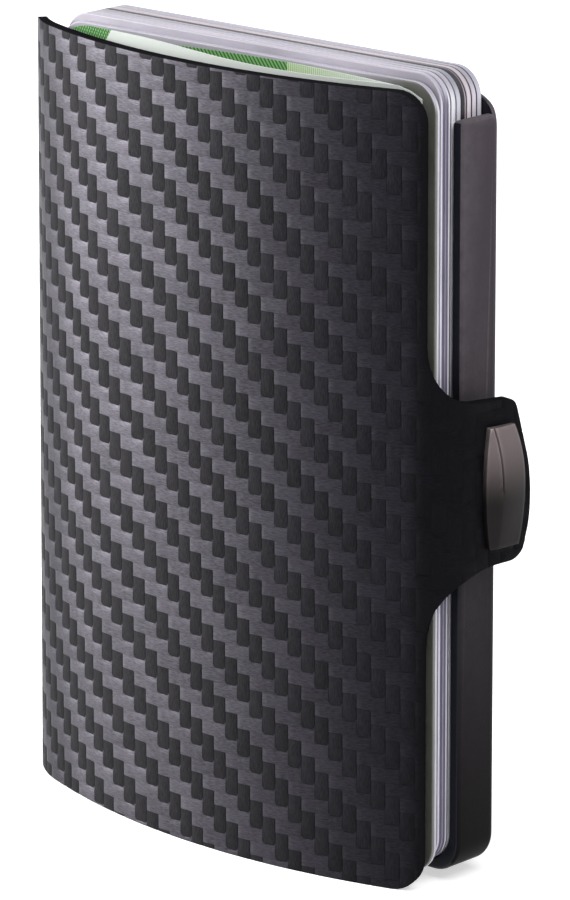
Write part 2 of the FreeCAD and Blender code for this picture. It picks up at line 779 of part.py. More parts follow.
# --------------------------------------------------------------------------
# The wallet, piece by piece
# --------------------------------------------------------------------------
card_tray()
keeper_plate()
for spring_name, spring_z in zip(("edge_spring_lower", "edge_spring_upper"), spring_places()):
    edge_spring(spring_name, spring_z)
spine_core()
back_piece("back_leather", 0.0, size("skin_thick"), 0.0)
back_piece("back_lining", size("skin_thick"), LEATHER, 0.0)
bond_film()
front_piece("front_leather", 0.0, size("skin_thick"))
front_piece("front_lining", size("skin_thick"), LEATHER)
tab_piece("tab_leather", 0.0, size("skin_thick"))
tab_piece("tab_lining", size("skin_thick"), LEATHER)
clasp_badge()
clasp_base()
cross_pins("clasp_magnets", "magnet_radius", magnet_heights(), LEATHER + CONTACT,
           LEATHER + size("base_thick"))
cross_pins("clasp_rivets", "rivet_radius", rivet_heights(), 0.0, LEATHER + size("base_thick"))
note_clip()
banknote()
for card_number in range(1, CARD_COUNT + 1):
    card(card_number)
doc.recompute()

# --------------------------------------------------------------------------
# Checks and export
# --------------------------------------------------------------------------
for item in doc.Objects:
    if "Invalid" in item.State or "Error" in item.State:
        raise RuntimeError(f"{item.Name} failed: {item.State}")
for piece in PIECES:
    if piece.Shape.isNull() or not piece.Shape.isValid():
        raise RuntimeError(f"{piece.Label} has no valid shape")

os.makedirs("parts", exist_ok=True)
whole = FreeCAD.BoundBox()
for piece in PIECES:
    piece.Shape.exportStep(os.path.join("parts", piece.Label + ".step"))
    whole.add(piece.Shape.BoundBox)
    print(f"{piece.Label:20s} {len(piece.Shape.Solids)} solid(s) {piece.Shape.Volume:9.2f} mm3")
print("hinge", (HINGE + SHIFT), "tab hinge", (RIGHT_EDGE + SHIFT), "shift", SHIFT)
print("box", whole)
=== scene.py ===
"""Looks for a slim leather-wrapped card wallet: woven sleeve, tray, cards, note and clasp.

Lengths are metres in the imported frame.  Sizes written as a number times MM are
millimetres.  Along the leather, positions are arc lengths from the cover's free
edge: positive towards the spine and the back, negative along the closing tab.
"""

import logging
import math
from dataclasses import dataclass, field
from enum import Enum
from typing import Callable, Iterable

import bmesh
import bpy
from mathutils import Matrix, Vector

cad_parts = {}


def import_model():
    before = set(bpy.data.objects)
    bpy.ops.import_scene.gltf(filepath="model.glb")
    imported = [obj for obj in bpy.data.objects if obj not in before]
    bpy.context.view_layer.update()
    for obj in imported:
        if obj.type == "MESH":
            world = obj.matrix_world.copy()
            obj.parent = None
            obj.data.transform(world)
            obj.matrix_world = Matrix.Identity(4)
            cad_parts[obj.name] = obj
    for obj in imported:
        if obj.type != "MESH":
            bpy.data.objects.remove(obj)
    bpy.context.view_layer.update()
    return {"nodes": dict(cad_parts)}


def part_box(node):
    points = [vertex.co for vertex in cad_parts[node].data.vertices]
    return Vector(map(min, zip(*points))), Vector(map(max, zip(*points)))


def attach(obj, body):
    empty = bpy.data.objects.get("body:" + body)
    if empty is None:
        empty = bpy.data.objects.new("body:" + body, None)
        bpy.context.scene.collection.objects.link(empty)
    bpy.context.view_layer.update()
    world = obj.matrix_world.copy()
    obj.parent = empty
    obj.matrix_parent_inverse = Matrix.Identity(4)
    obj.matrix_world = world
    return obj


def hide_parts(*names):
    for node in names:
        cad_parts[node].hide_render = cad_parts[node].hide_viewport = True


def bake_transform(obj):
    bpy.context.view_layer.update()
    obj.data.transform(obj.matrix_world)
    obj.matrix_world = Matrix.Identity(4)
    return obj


log = logging.getLogger("wallet")

MM = 0.001
NEAR = MM / 10
TOUCH = MM / 100
Point = tuple[float, float, float]


# --------------------------------------------------------------------------
# Workbench: the modelling moves that every piece shares
# --------------------------------------------------------------------------
class Element(Enum):
    """What a selection in edit mode is made of."""

    VERT = "VERT"
    EDGE = "EDGE"


class Workbench:
    """Edit-mode moves on one piece at a time, with selection made in code."""

    @staticmethod
    def clear() -> None:
        """Leave edit mode and deselect everything."""
        if bpy.context.object and bpy.context.object.mode != "OBJECT":
            bpy.ops.object.mode_set(mode="OBJECT")
        bpy.ops.object.select_all(action="DESELECT")

    @staticmethod
    def take(piece: bpy.types.Object) -> bpy.types.Object:
        """Make one piece the only selected and active one."""
        Workbench.clear()
        piece.select_set(True)
        bpy.context.view_layer.objects.active = piece
        return piece

    @staticmethod
    def block(name: str, low: Point, high: Point) -> bpy.types.Object:
        """Add a cube primitive that fills a box.

        Args:
            name: name of the new piece.
            low: lowest corner, in metres.
            high: highest corner, in metres.

        Returns:
            The new piece, with its place in its mesh.
        """
        Workbench.clear()
        middle = [(a + b) / 2 for a, b in zip(low, high)]
        bpy.ops.mesh.primitive_cube_add(size=1, location=middle)
        piece = bpy.context.object
        piece.scale = [b - a for a, b in zip(low, high)]
        bpy.ops.object.transform_apply(location=True, rotation=True, scale=True)
        piece.name = piece.data.name = name
        return piece

    @staticmethod
    def blank(name: str, left: float, right: float, low: float, high: float) -> bpy.types.Object:
        """Add an upright rectangle in the XZ plane, facing -Y.

        Args:
            name: name of the new piece.
            left: lowest X.
            right: highest X.
            low: lowest Z.
            high: highest Z.

        Returns:
            The new piece.
        """
        Workbench.clear()
        place = ((left + right) / 2, 0, (low + high) / 2)
        bpy.ops.mesh.primitive_plane_add(size=1, location=place, rotation=(math.pi / 2, 0, 0))
        piece = bpy.context.object
        piece.scale = (right - left, high - low, 1)
        bpy.ops.object.transform_apply(location=True, rotation=True, scale=True)
        piece.name = piece.data.name = name
        return piece

    @staticmethod
    def pick(piece: bpy.types.Object, kind: Element, test: Callable[[Vector], bool]) -> int:
        """In edit mode, select the vertices or edges whose middle passes a test.

        Args:
            piece: the piece in edit mode.
            kind: what to select.
            test: takes a middle point and says whether to select there.

        Returns:
            How many were selected.
        """
        bpy.ops.mesh.select_mode(type=kind.value)
        bpy.ops.mesh.select_all(action="DESELECT")
        form = bmesh.from_edit_mesh(piece.data)
        elements, middle = {
            Element.VERT: (form.verts, lambda vertex: vertex.co),
            Element.EDGE: (form.edges, lambda edge: (edge.verts[0].co + edge.verts[1].co) / 2),
        }[kind]
        found = [element for element in elements if test(middle(element))]
        for element in found:
            element.select_set(True)
        form.select_flush_mode()
        bmesh.update_edit_mesh(piece.data)
        return len(found)

    @staticmethod
    def slice(places: Iterable[float], normal: Point, at: Callable[[float], Point]) -> None:
        """In edit mode, cut the whole mesh along parallel planes.

        Args:
            places: where the cuts lie.
            normal: the planes' normal.
            at: turns a place into a point on its plane.
        """
        for place in places:
            bpy.ops.mesh.select_all(action="SELECT")
            bpy.ops.mesh.bisect(plane_co=at(place), plane_no=normal)

    @staticmethod
    def modify(piece: bpy.types.Object, kind: str, **settings: object) -> None:
        """Add a modifier to a piece and apply it.

        Args:
            piece: the piece.
            kind: the modifier's type.
            **settings: values of its properties.
        """
        Workbench.take(piece)
        modifier = piece.modifiers.new(kind.title(), kind)
        for name, value in settings.items():
            setattr(modifier, name, value)
        bpy.ops.object.modifier_apply(modifier=modifier.name)

    @staticmethod
    def smooth(piece: bpy.types.Object, angle: float = 35.0) -> None:
        """Shade a piece smooth, apart from edges sharper than an angle in degrees."""
        Workbench.take(piece)
        bpy.ops.object.shade_smooth_by_angle(angle=math.radians(angle))

    @staticmethod
    def copy_node(node: bpy.types.Object, name: str) -> bpy.types.Object:
        """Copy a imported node's mesh, merge its loose triangles and dissolve its flats.

        Args:
            node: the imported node.
            name: name of the copy.

        Returns:
            The copy, a closed mesh with one face to each flat.
        """
        piece = bpy.data.objects.new(name, node.data.copy())
        piece.data.name = name
        piece.data.materials.clear()
        bpy.context.scene.collection.objects.link(piece)
        Workbench.take(piece)
        bpy.ops.object.mode_set(mode="EDIT")
        bpy.ops.mesh.select_all(action="SELECT")
        bpy.ops.mesh.remove_doubles(threshold=1e-6)
        bpy.ops.mesh.customdata_custom_splitnormals_clear()
        bpy.ops.mesh.dissolve_limited(angle_limit=math.radians(0.5))
        bpy.ops.object.mode_set(mode="OBJECT")
        return piece


# --------------------------------------------------------------------------
# Datum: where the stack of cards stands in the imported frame
# --------------------------------------------------------------------------
@dataclass
class Datum:
    """Corner of the card stack from which the leather is drawn."""

    right: float
    back: float
    floor: float
    width: float

    @classmethod
    def from_frame(cls) -> "Datum":
        """Read the corner from the rear card, card_9."""
        low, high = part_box("card_9")
        return cls(high.x, high.y, low.z, high.x - low.x)

    def place(self, x: float, y: float, z: float) -> Vector:
        """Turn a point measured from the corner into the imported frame."""
        return Vector((self.right + x, self.back + y, self.floor + z))


# --------------------------------------------------------------------------
# The leather's plan: how the flat strip is wrapped round the wallet
# --------------------------------------------------------------------------
@dataclass
class LeatherPlan:
    """Outer surface of the leather in plan, from the tab's end to the back's edge.

    The sizes are those of the wallet's construction, measured from the datum.
    """

    card_width: float
    crown_offset: float = 0.29 * MM
    crown_depth: float = 14.0 * MM
    bulge_rise: float = 4.658 * MM
    cover_reach: float = 0.27 * MM
    curl_reach: float = 0.22 * MM
    curl_radius: float = 15.4 * MM
    hinge_heading: float = math.radians(47.0)
    back_face: float = 2.70 * MM
    back_right: float = -1.985 * MM
    tab_bend: float = 5.5 * MM
    tab_turn: float = math.radians(61.0)
    tab_run: float = 7.64 * MM
    thickness: float = 1.3 * MM
    stretches: list = field(default_factory=list)

    def __post_init__(self) -> None:
        """Work out the round and straight stretches from the sizes."""
        crown_x = self.crown_offset - self.card_width / 2
        right_span = self.cover_reach - crown_x
        left_span = crown_x + self.card_width + self.curl_reach
        radius = (self.bulge_rise ** 2 + right_span ** 2) / (2 * self.bulge_rise)
        right, left = -math.asin(right_span / radius), math.asin(left_span / radius)
        centre = Vector((crown_x, radius - self.crown_depth))
        self.cover_end = radius * (left - right)
        curl_centre = centre - self.inward(left) * (radius - self.curl_radius)
        self.hinge = self.cover_end + self.curl_radius * (self.hinge_heading - left)
        hinge = curl_centre - self.inward(self.hinge_heading) * self.curl_radius
        spine = (self.back_face - hinge.y) / (1 + math.cos(self.hinge_heading))
        spine_centre = hinge + self.inward(self.hinge_heading) * spine
        self.spine_end = self.hinge + spine * (math.pi - self.hinge_heading)
        back_from = spine_centre - self.inward(math.pi) * spine
        self.back_end = self.spine_end + self.back_right - back_from.x
        edge = centre - self.inward(right) * radius
        bend_centre = edge + self.inward(right) * self.tab_bend
        tab_heading = right - self.tab_turn
        self.bend_end = -self.tab_bend * self.tab_turn
        self.tab_end = self.bend_end - self.tab_run
        run_from = bend_centre - self.inward(tab_heading) * self.tab_bend
        self.stretches = [
            (self.tab_end, None, run_from, tab_heading, self.bend_end),
            (self.bend_end, self.tab_bend, bend_centre, tab_heading, self.bend_end),
            (0.0, radius, centre, right, 0.0),
            (self.cover_end, self.curl_radius, curl_centre, left, self.cover_end),
            (self.hinge, spine, spine_centre, self.hinge_heading, self.hinge),
            (self.spine_end, None, back_from, math.pi, self.spine_end),
        ]

    @staticmethod
    def inward(heading: float) -> Vector:
        """Unit vector into the wallet where the leather has a heading."""
        return Vector((math.sin(heading), math.cos(heading)))

    @staticmethod
    def along(heading: float) -> Vector:
        """Unit vector along the leather, from the tab towards the back."""
        return Vector((-math.cos(heading), math.sin(heading)))

    def heading(self, arc: float) -> float:
        """Heading of the leather at an arc length, in radians."""
        _, radius, _, heading, zero = self.stretch(arc)
        return heading if radius is None else heading + (arc - zero) / radius

    def stretch(self, arc: float) -> tuple[float, float | None, Vector, float, float]:
        """Find the stretch that an arc length lies on.

        Args:
            arc: arc length along the leather.

        Returns:
            Its first arc length, its radius (None where straight), its centre (a point on it
            where straight), a heading on it, and the arc length of that heading or point.
        """
        found = self.stretches[0]
        for stretch in self.stretches:
            if arc >= stretch[0]:
                found = stretch
        return found

    def point(self, arc: float, depth: float) -> Vector:
        """Find the plan point at an arc length, a depth below the outer surface.

        Args:
            arc: arc length along the leather.
            depth: distance inwards from the outer surface.

        Returns:
            X and Y from the datum.
        """
        _, radius, anchor, heading, zero = self.stretch(arc)
        if radius is None:
            return anchor + self.along(heading) * (arc - zero) + self.inward(heading) * depth
        return anchor - self.inward(self.heading(arc)) * (radius - depth)


# --------------------------------------------------------------------------
# The woven emboss, shared by the mesh's relief and the material
# --------------------------------------------------------------------------
@dataclass(frozen=True)
class TwillWeave:
    """2/2 twill: each upright float is one tow wide and two tall, each level one the reverse."""

    column_pitch: float = 1.70 * MM
    column_start: float = 2.49 * MM
    drawn_from: float = 31.0 * MM
    drawn_over: float = 18.0 * MM
    drawn_columns: float = 1.2
    row_pitch: float = 1.555 * MM
    row_start: float = -1.10 * MM
    lean: float = 0.0193
    groove: float = 0.08
    relief: float = 0.08 * MM
    level_share: float = 0.22
    soft_corner: float = 0.40 * MM
    shoulder: float = 0.80
    solve_steps: int = 12
    repeat: int = 4
    spare: int = 12
    span: int = 100

    def column(self, arc: float) -> float:
        """Column count at an arc length; the emboss is drawn out over the note pocket."""
        share = min(max((arc - self.drawn_from) / self.drawn_over, 0.0), 1.0)
        drawn = self.drawn_columns * share * share * (3 - 2 * share)
        return (arc - self.column_start) / self.column_pitch - drawn

    def column_arc(self, column: float) -> float:
        """Find the arc length of a column count.

        Args:
            column: column count.

        Returns:
            The arc length at which column() gives that count.
        """
        arc = self.column_start + column * self.column_pitch
        for _ in range(self.solve_steps):
            arc += (column - self.column(arc)) * self.column_pitch
        return arc

    def row(self, arc: float, height: float) -> float:
        """Row count at an arc length and a height above the cards' underside."""
        return (height + self.lean * arc - self.row_start) / self.row_pitch

    def cuts(self, low: float, high: float) -> list[float]:
        """List the counts at which the relief needs a line of vertices.

        Args:
            low: lowest count.
            high: highest count.

        Returns:
            The counts between the two limits.
        """
        marks = []
        for count in range(math.floor(low), math.ceil(high)):
            marks += [count, count + self.groove, count + 0.5, count + 1 - self.groove]
        return [mark for mark in marks if low < mark < high]

    def sink(self, arc: float, height: float) -> float:
        """Find how far the surface lies below the floats' crowns.

        Args:
            arc: arc length along the leather.
            height: height above the cards' underside.

        Returns:
            The depth, in metres.
        """
        column, row = self.column(arc), self.row(arc, height)
        near = 1e-4
        cell_column, cell_row = math.floor(column + near), math.floor(row + near)
        across, up = column - cell_column, row - cell_row
        phase = (cell_row - cell_column) % self.repeat
        if phase < 2:
            side, end = across, (up + phase) / 2
        else:
            side, end = up, (across + (1 if phase == 2 else 0)) / 2
        crown = self.crown(side, self.groove) * self.crown(end, self.groove / 2)
        return self.relief * (1 - crown) * (1.0 if phase < 2 else self.level_share)

    @staticmethod
    def crown(place: float, edge: float) -> float:
        """Height of a float's section: nothing at its edges, then a shallow crown.

        Args:
            place: 0 to 1 across the float.
            edge: width of its rounded edge, on the same scale.

        Returns:
            The height, 0 to 1.
        """
        inner = min(place, 1 - place)
        if inner < edge:
            return TwillWeave.shoulder * max(inner, 0.0) / edge
        share = (inner - edge) / (0.5 - edge)
        return TwillWeave.shoulder + (1 - TwillWeave.shoulder) * share * (2 - share)

    def uv(self, arc: float, height: float) -> tuple[float, float]:
        """Place on the weave's own map: columns and rows as shares of its span."""
        return ((self.column(arc) + self.spare) / self.span,
                (self.row(arc, height) + self.spare) / self.span)


# --------------------------------------------------------------------------
# Materials
# --------------------------------------------------------------------------
class Wiring:
    """Short calls for building a node tree."""

    def __init__(self, tree: bpy.types.NodeTree) -> None:
        """Start from an empty tree."""
        self.tree = tree
        tree.nodes.clear()

    def node(self, kind: str, **settings: object) -> bpy.types.Node:
        """Add a node; settings that name an input set its value, others a property.

        Args:
            kind: node type without its "ShaderNode" prefix, or a full name.
            **settings: properties of the node.

        Returns:
            The node.
        """
        full = kind if kind.startswith(("ShaderNode", "Node")) else "ShaderNode" + kind
        made = self.tree.nodes.new(full)
        for name, value in settings.items():
            setattr(made, name, value)
        return made

    def link(self, source: object, target: object) -> None:
        """Link an output to an input, or set the input to a plain value."""
        if isinstance(source, bpy.types.NodeSocket):
            self.tree.links.new(source, target)
        else:
            target.default_value = source

    def math(self, operation: str, *values: object) -> bpy.types.NodeSocket:
        """Math node on up to three values or sockets; returns its output."""
        made = self.node("Math", operation=operation)
        for value, socket in zip(values, made.inputs):
            self.link(value, socket)
        return made.outputs[0]

    def mix(self, share: object, first: object, second: object) -> bpy.types.NodeSocket:
        """Colour mix; returns its output."""
        made = self.node("Mix", data_type="RGBA")
        for value, index in ((share, 0), (first, 6), (second, 7)):
            self.link(value, made.inputs[index])
        return made.outputs[2]

    def blend(self, share: object, first: object, second: object) -> bpy.types.NodeSocket:
        """Number mix; returns its output."""
        made = self.node("Mix", data_type="FLOAT")
        for value, index in ((share, 0), (first, 2), (second, 3)):
            self.link(value, made.inputs[index])
        return made.outputs[0]

    def span(self, value: object, low: float, high: float, first: float = 0.0,
             last: float = 1.0, soft: bool = False) -> bpy.types.NodeSocket:
        """Carry a range of a value onto another range.

        Args:
            value: the value or socket.
            low: value at which the result is first.
            high: value at which the result is last.
            first: result at and below low.
            last: result at and above high.
            soft: whether the result eases in and out.

        Returns:
            The result's output.
        """
        made = self.node("MapRange", interpolation_type="SMOOTHSTEP" if soft else "LINEAR")
        for setting, socket in zip((value, low, high, first, last), made.inputs):
            self.link(setting, socket)
        return made.outputs[0]

    def parts(self, vector: object) -> bpy.types.bpy_prop_collection:
        """Take a vector apart; returns its three outputs."""
        made = self.node("SeparateXYZ")
        self.link(vector, made.inputs[0])
        return made.outputs

    def valued(self, colour: object, value: object) -> bpy.types.NodeSocket:
        """Colour with its value multiplied; returns its output."""
        made = self.node("HueSaturation")
        self.link(colour, made.inputs["Color"])
        self.link(value, made.inputs["Value"])
        return made.outputs[0]

    def noise(self, vector: object, scale: float, detail: float = 2.0,
              rough: float = 0.5) -> bpy.types.NodeSocket:
        """Noise texture.

        Args:
            vector: where it is read.
            scale: its scale.
            detail: its detail.
            rough: its roughness.

        Returns:
            Its value output.
        """
        made = self.node("TexNoise")
        self.link(vector, made.inputs["Vector"])
        made.inputs["Scale"].default_value = scale
        made.inputs["Detail"].default_value = detail
        made.inputs["Roughness"].default_value = rough
        return made.outputs[0]

    def scaled(self, vector: object, scale: Point) -> bpy.types.NodeSocket:
        """Vector stretched along each axis; returns its output."""
        made = self.node("VectorMath", operation="MULTIPLY")
        self.link(vector, made.inputs[0])
        made.inputs[1].default_value = scale
        return made.outputs[0]

    def bump(self, height: object, strength: float, distance: float) -> bpy.types.NodeSocket:
        """Bump node.

        Args:
            height: the height that it follows.
            strength: its strength.
            distance: its distance, in metres.

        Returns:
            Its normal output.
        """
        made = self.node("Bump")
        made.inputs["Strength"].default_value = strength
        made.inputs["Distance"].default_value = distance
        self.link(height, made.inputs["Height"])
        return made.outputs[0]


def new_group(name: str, inputs: list[tuple], outputs: list[tuple]) -> tuple:
    """Make an empty shader node group with named sockets.

    Args:
        name: the group's name.
        inputs: (name, socket type, default or None) for each input.
        outputs: (name, socket type) for each output.

    Returns:
        (group, wiring, group input node, group output node).
    """
    group = bpy.data.node_groups.new(name, "ShaderNodeTree")
    for label, kind, default in inputs:
        socket = group.interface.new_socket(name=label, in_out="INPUT", socket_type=kind)
        if default is not None:
            socket.default_value = default
    for label, kind in outputs:
        group.interface.new_socket(name=label, in_out="OUTPUT", socket_type=kind)
    wiring = Wiring(group)
    return group, wiring, wiring.node("NodeGroupInput"), wiring.node("NodeGroupOutput")


class Effects:
    """Shader node groups that several finishes share."""

    FLOAT, VECTOR = "NodeSocketFloat", "NodeSocketVector"
    FIBRE_RUNS, FIBRE_SPREAD, GROOVE_SHARE = 5.0, 37.0, 0.07
    RUB_FROM, RUB_TO, RUB_SCALE = 0.505, 0.56, 900.0

    def __init__(self, weave: TwillWeave) -> None:
        """Build every group once."""
        self.twill = self.build_twill(weave)
        self.grain = self.build_grain()
        self.edge_wear = self.build_edge_wear()

    def build_twill(self, weave: TwillWeave) -> bpy.types.NodeTree:
        """Masks of the 2/2 twill and the fibres that run along each float.

        Args:
            weave: the weave's counts and proportions.

        Returns:
            A group that puts out the level mask, the fibre height, the float's own
            random value and the groove mask.
        """
        group, w, start, end = new_group(
            "twill_floats",
            [("Map", self.VECTOR, None), ("Fibre Count", self.FLOAT, 18.0)],
            [("Level", self.FLOAT), ("Fibre", self.FLOAT), ("Random", self.FLOAT),
             ("Groove", self.FLOAT)])
        column, row = (w.math("MULTIPLY_ADD", part, float(weave.span), float(-weave.spare))
                       for part in w.parts(start.outputs["Map"])[:2])
        cell_column, cell_row = w.math("FLOOR", column), w.math("FLOOR", row)
        across = w.math("SUBTRACT", column, cell_column)
        up = w.math("SUBTRACT", row, cell_row)
        phase = w.math("FLOORED_MODULO", w.math("SUBTRACT", cell_row, cell_column),
                       float(weave.repeat))
        own_level = w.math("GREATER_THAN", phase, 1.5)
        second_up = w.math("COMPARE", phase, 1.0, 0.1)
        second_level = w.math("COMPARE", phase, 2.0, 0.1)
        half_across = w.math("MINIMUM", across, w.math("SUBTRACT", 1.0, across))
        reaches = []
        for place, pitch in ((half_across, weave.column_pitch),
                             (w.math("ADD", up, second_up), weave.row_pitch)):
            reach = w.math("SUBTRACT", 1.0, w.math("MULTIPLY", place, pitch / weave.soft_corner))
            reaches.append(w.math("MAXIMUM", reach, 0.0))
        beyond = w.math("SQRT", w.math("ADD", w.math("POWER", reaches[0], 2.0),
                                       w.math("POWER", reaches[1], 2.0)))
        level = w.math("MAXIMUM", own_level, w.math("GREATER_THAN", beyond, 1.0))
        side = w.blend(level, across, up)
        along = w.blend(level,
                        w.math("MULTIPLY", w.math("ADD", up, second_up), 0.5),
                        w.math("MULTIPLY", w.math("ADD", across, second_level), 0.5))
        own = w.node("CombineXYZ")
        w.link(w.blend(level, cell_column, w.math("SUBTRACT", cell_column, second_level)),
               own.inputs[0])
        w.link(w.blend(level, w.math("SUBTRACT", cell_row, second_up), cell_row), own.inputs[1])
        w.link(level, own.inputs[2])
        chance = w.node("TexWhiteNoise", noise_dimensions="3D")
        w.link(own.outputs[0], chance.inputs["Vector"])
        fibre_place = w.node("CombineXYZ")
        w.link(w.math("MULTIPLY", side, start.outputs["Fibre Count"]), fibre_place.inputs[0])
        w.link(w.math("MULTIPLY", along, self.FIBRE_RUNS), fibre_place.inputs[1])
        w.link(w.math("MULTIPLY", chance.outputs["Value"], self.FIBRE_SPREAD),
               fibre_place.inputs[2])
        fibre = w.noise(fibre_place.outputs[0], 1.0, 2.0, 0.6)
        side_edge = w.math("MINIMUM", side, w.math("SUBTRACT", 1.0, side))
        end_edge = w.math("MINIMUM", along, w.math("SUBTRACT", 1.0, along))
        nearest = w.math("MINIMUM", side_edge, w.math("MULTIPLY", end_edge, 2.0))
        groove = w.span(nearest, 0.0, self.GROOVE_SHARE, 1.0, 0.0, soft=True)
        for label, socket in (("Level", level), ("Fibre", fibre), ("Groove", groove),
                              ("Random", chance.outputs["Value"])):
            w.link(socket, end.inputs[label])
        return group

    def build_grain(self) -> bpy.types.NodeTree:
        """Fine moulded or painted grain with a slower mottle on top.

        Returns:
            A group that puts out a height and a mottle value.
        """
        group, w, start, end = new_group(
            "fine_grain",
            [("Place", self.VECTOR, None), ("Grain Scale", self.FLOAT, 9000.0),
             ("Mottle Scale", self.FLOAT, 60.0)],
            [("Height", self.FLOAT), ("Mottle", self.FLOAT)])
        made = []
        for label, detail in (("Grain Scale", 3.0), ("Mottle Scale", 4.0)):
            noise = w.node("TexNoise")
            w.link(start.outputs["Place"], noise.inputs["Vector"])
            w.link(start.outputs[label], noise.inputs["Scale"])
            noise.inputs["Detail"].default_value = detail
            made.append(noise.outputs[0])
        w.link(made[0], end.inputs["Height"])
        w.link(made[1], end.inputs["Mottle"])
        return group

    def build_edge_wear(self) -> bpy.types.NodeTree:
        """Mask of worn outer edges, broken up by noise.

        Returns:
            A group that puts out a mask.
        """
        group, w, start, end = new_group(
            "edge_wear",
            [("Place", self.VECTOR, None), ("Amount", self.FLOAT, 0.5)],
            [("Mask", self.FLOAT)])
        shape = w.node("NewGeometry")
        sharp = w.span(shape.outputs["Pointiness"], self.RUB_FROM, self.RUB_TO)
        broken = w.noise(start.outputs["Place"], self.RUB_SCALE, 3.0, 0.6)
        mask = w.math("MULTIPLY", w.math("MULTIPLY", sharp, broken), start.outputs["Amount"])
        w.link(w.math("MINIMUM", mask, 1.0), end.inputs["Mask"])
        return group


def use_group(w: Wiring, group: bpy.types.NodeTree, **values: object) -> bpy.types.Node:
    """Place a node group and set its inputs.

    Args:
        w: wiring of the material.
        group: the node group.
        **values: input values or sockets, with "_" for a space in the name.

    Returns:
        The group's node.
    """
    made = w.node("Group", node_tree=group)
    for name, value in values.items():
        w.link(value, made.inputs[name.replace("_", " ")])
    return made


def new_material(name: str, **constants: object) -> tuple:
    """Make a material with one Principled BSDF.

    Args:
        name: the material's name.
        **constants: Principled inputs to set, with "_" for a space.

    Returns:
        (material, wiring, Principled node).
    """
    material = bpy.data.materials.new(name)
    material.use_nodes = True
    w = Wiring(material.node_tree)
    shader = w.node("BsdfPrincipled")
    output = w.node("OutputMaterial")
    w.link(shader.outputs[0], output.inputs["Surface"])
    for label, value in constants.items():
        shader.inputs[label.replace("_", " ")].default_value = value
    return material, w, shader


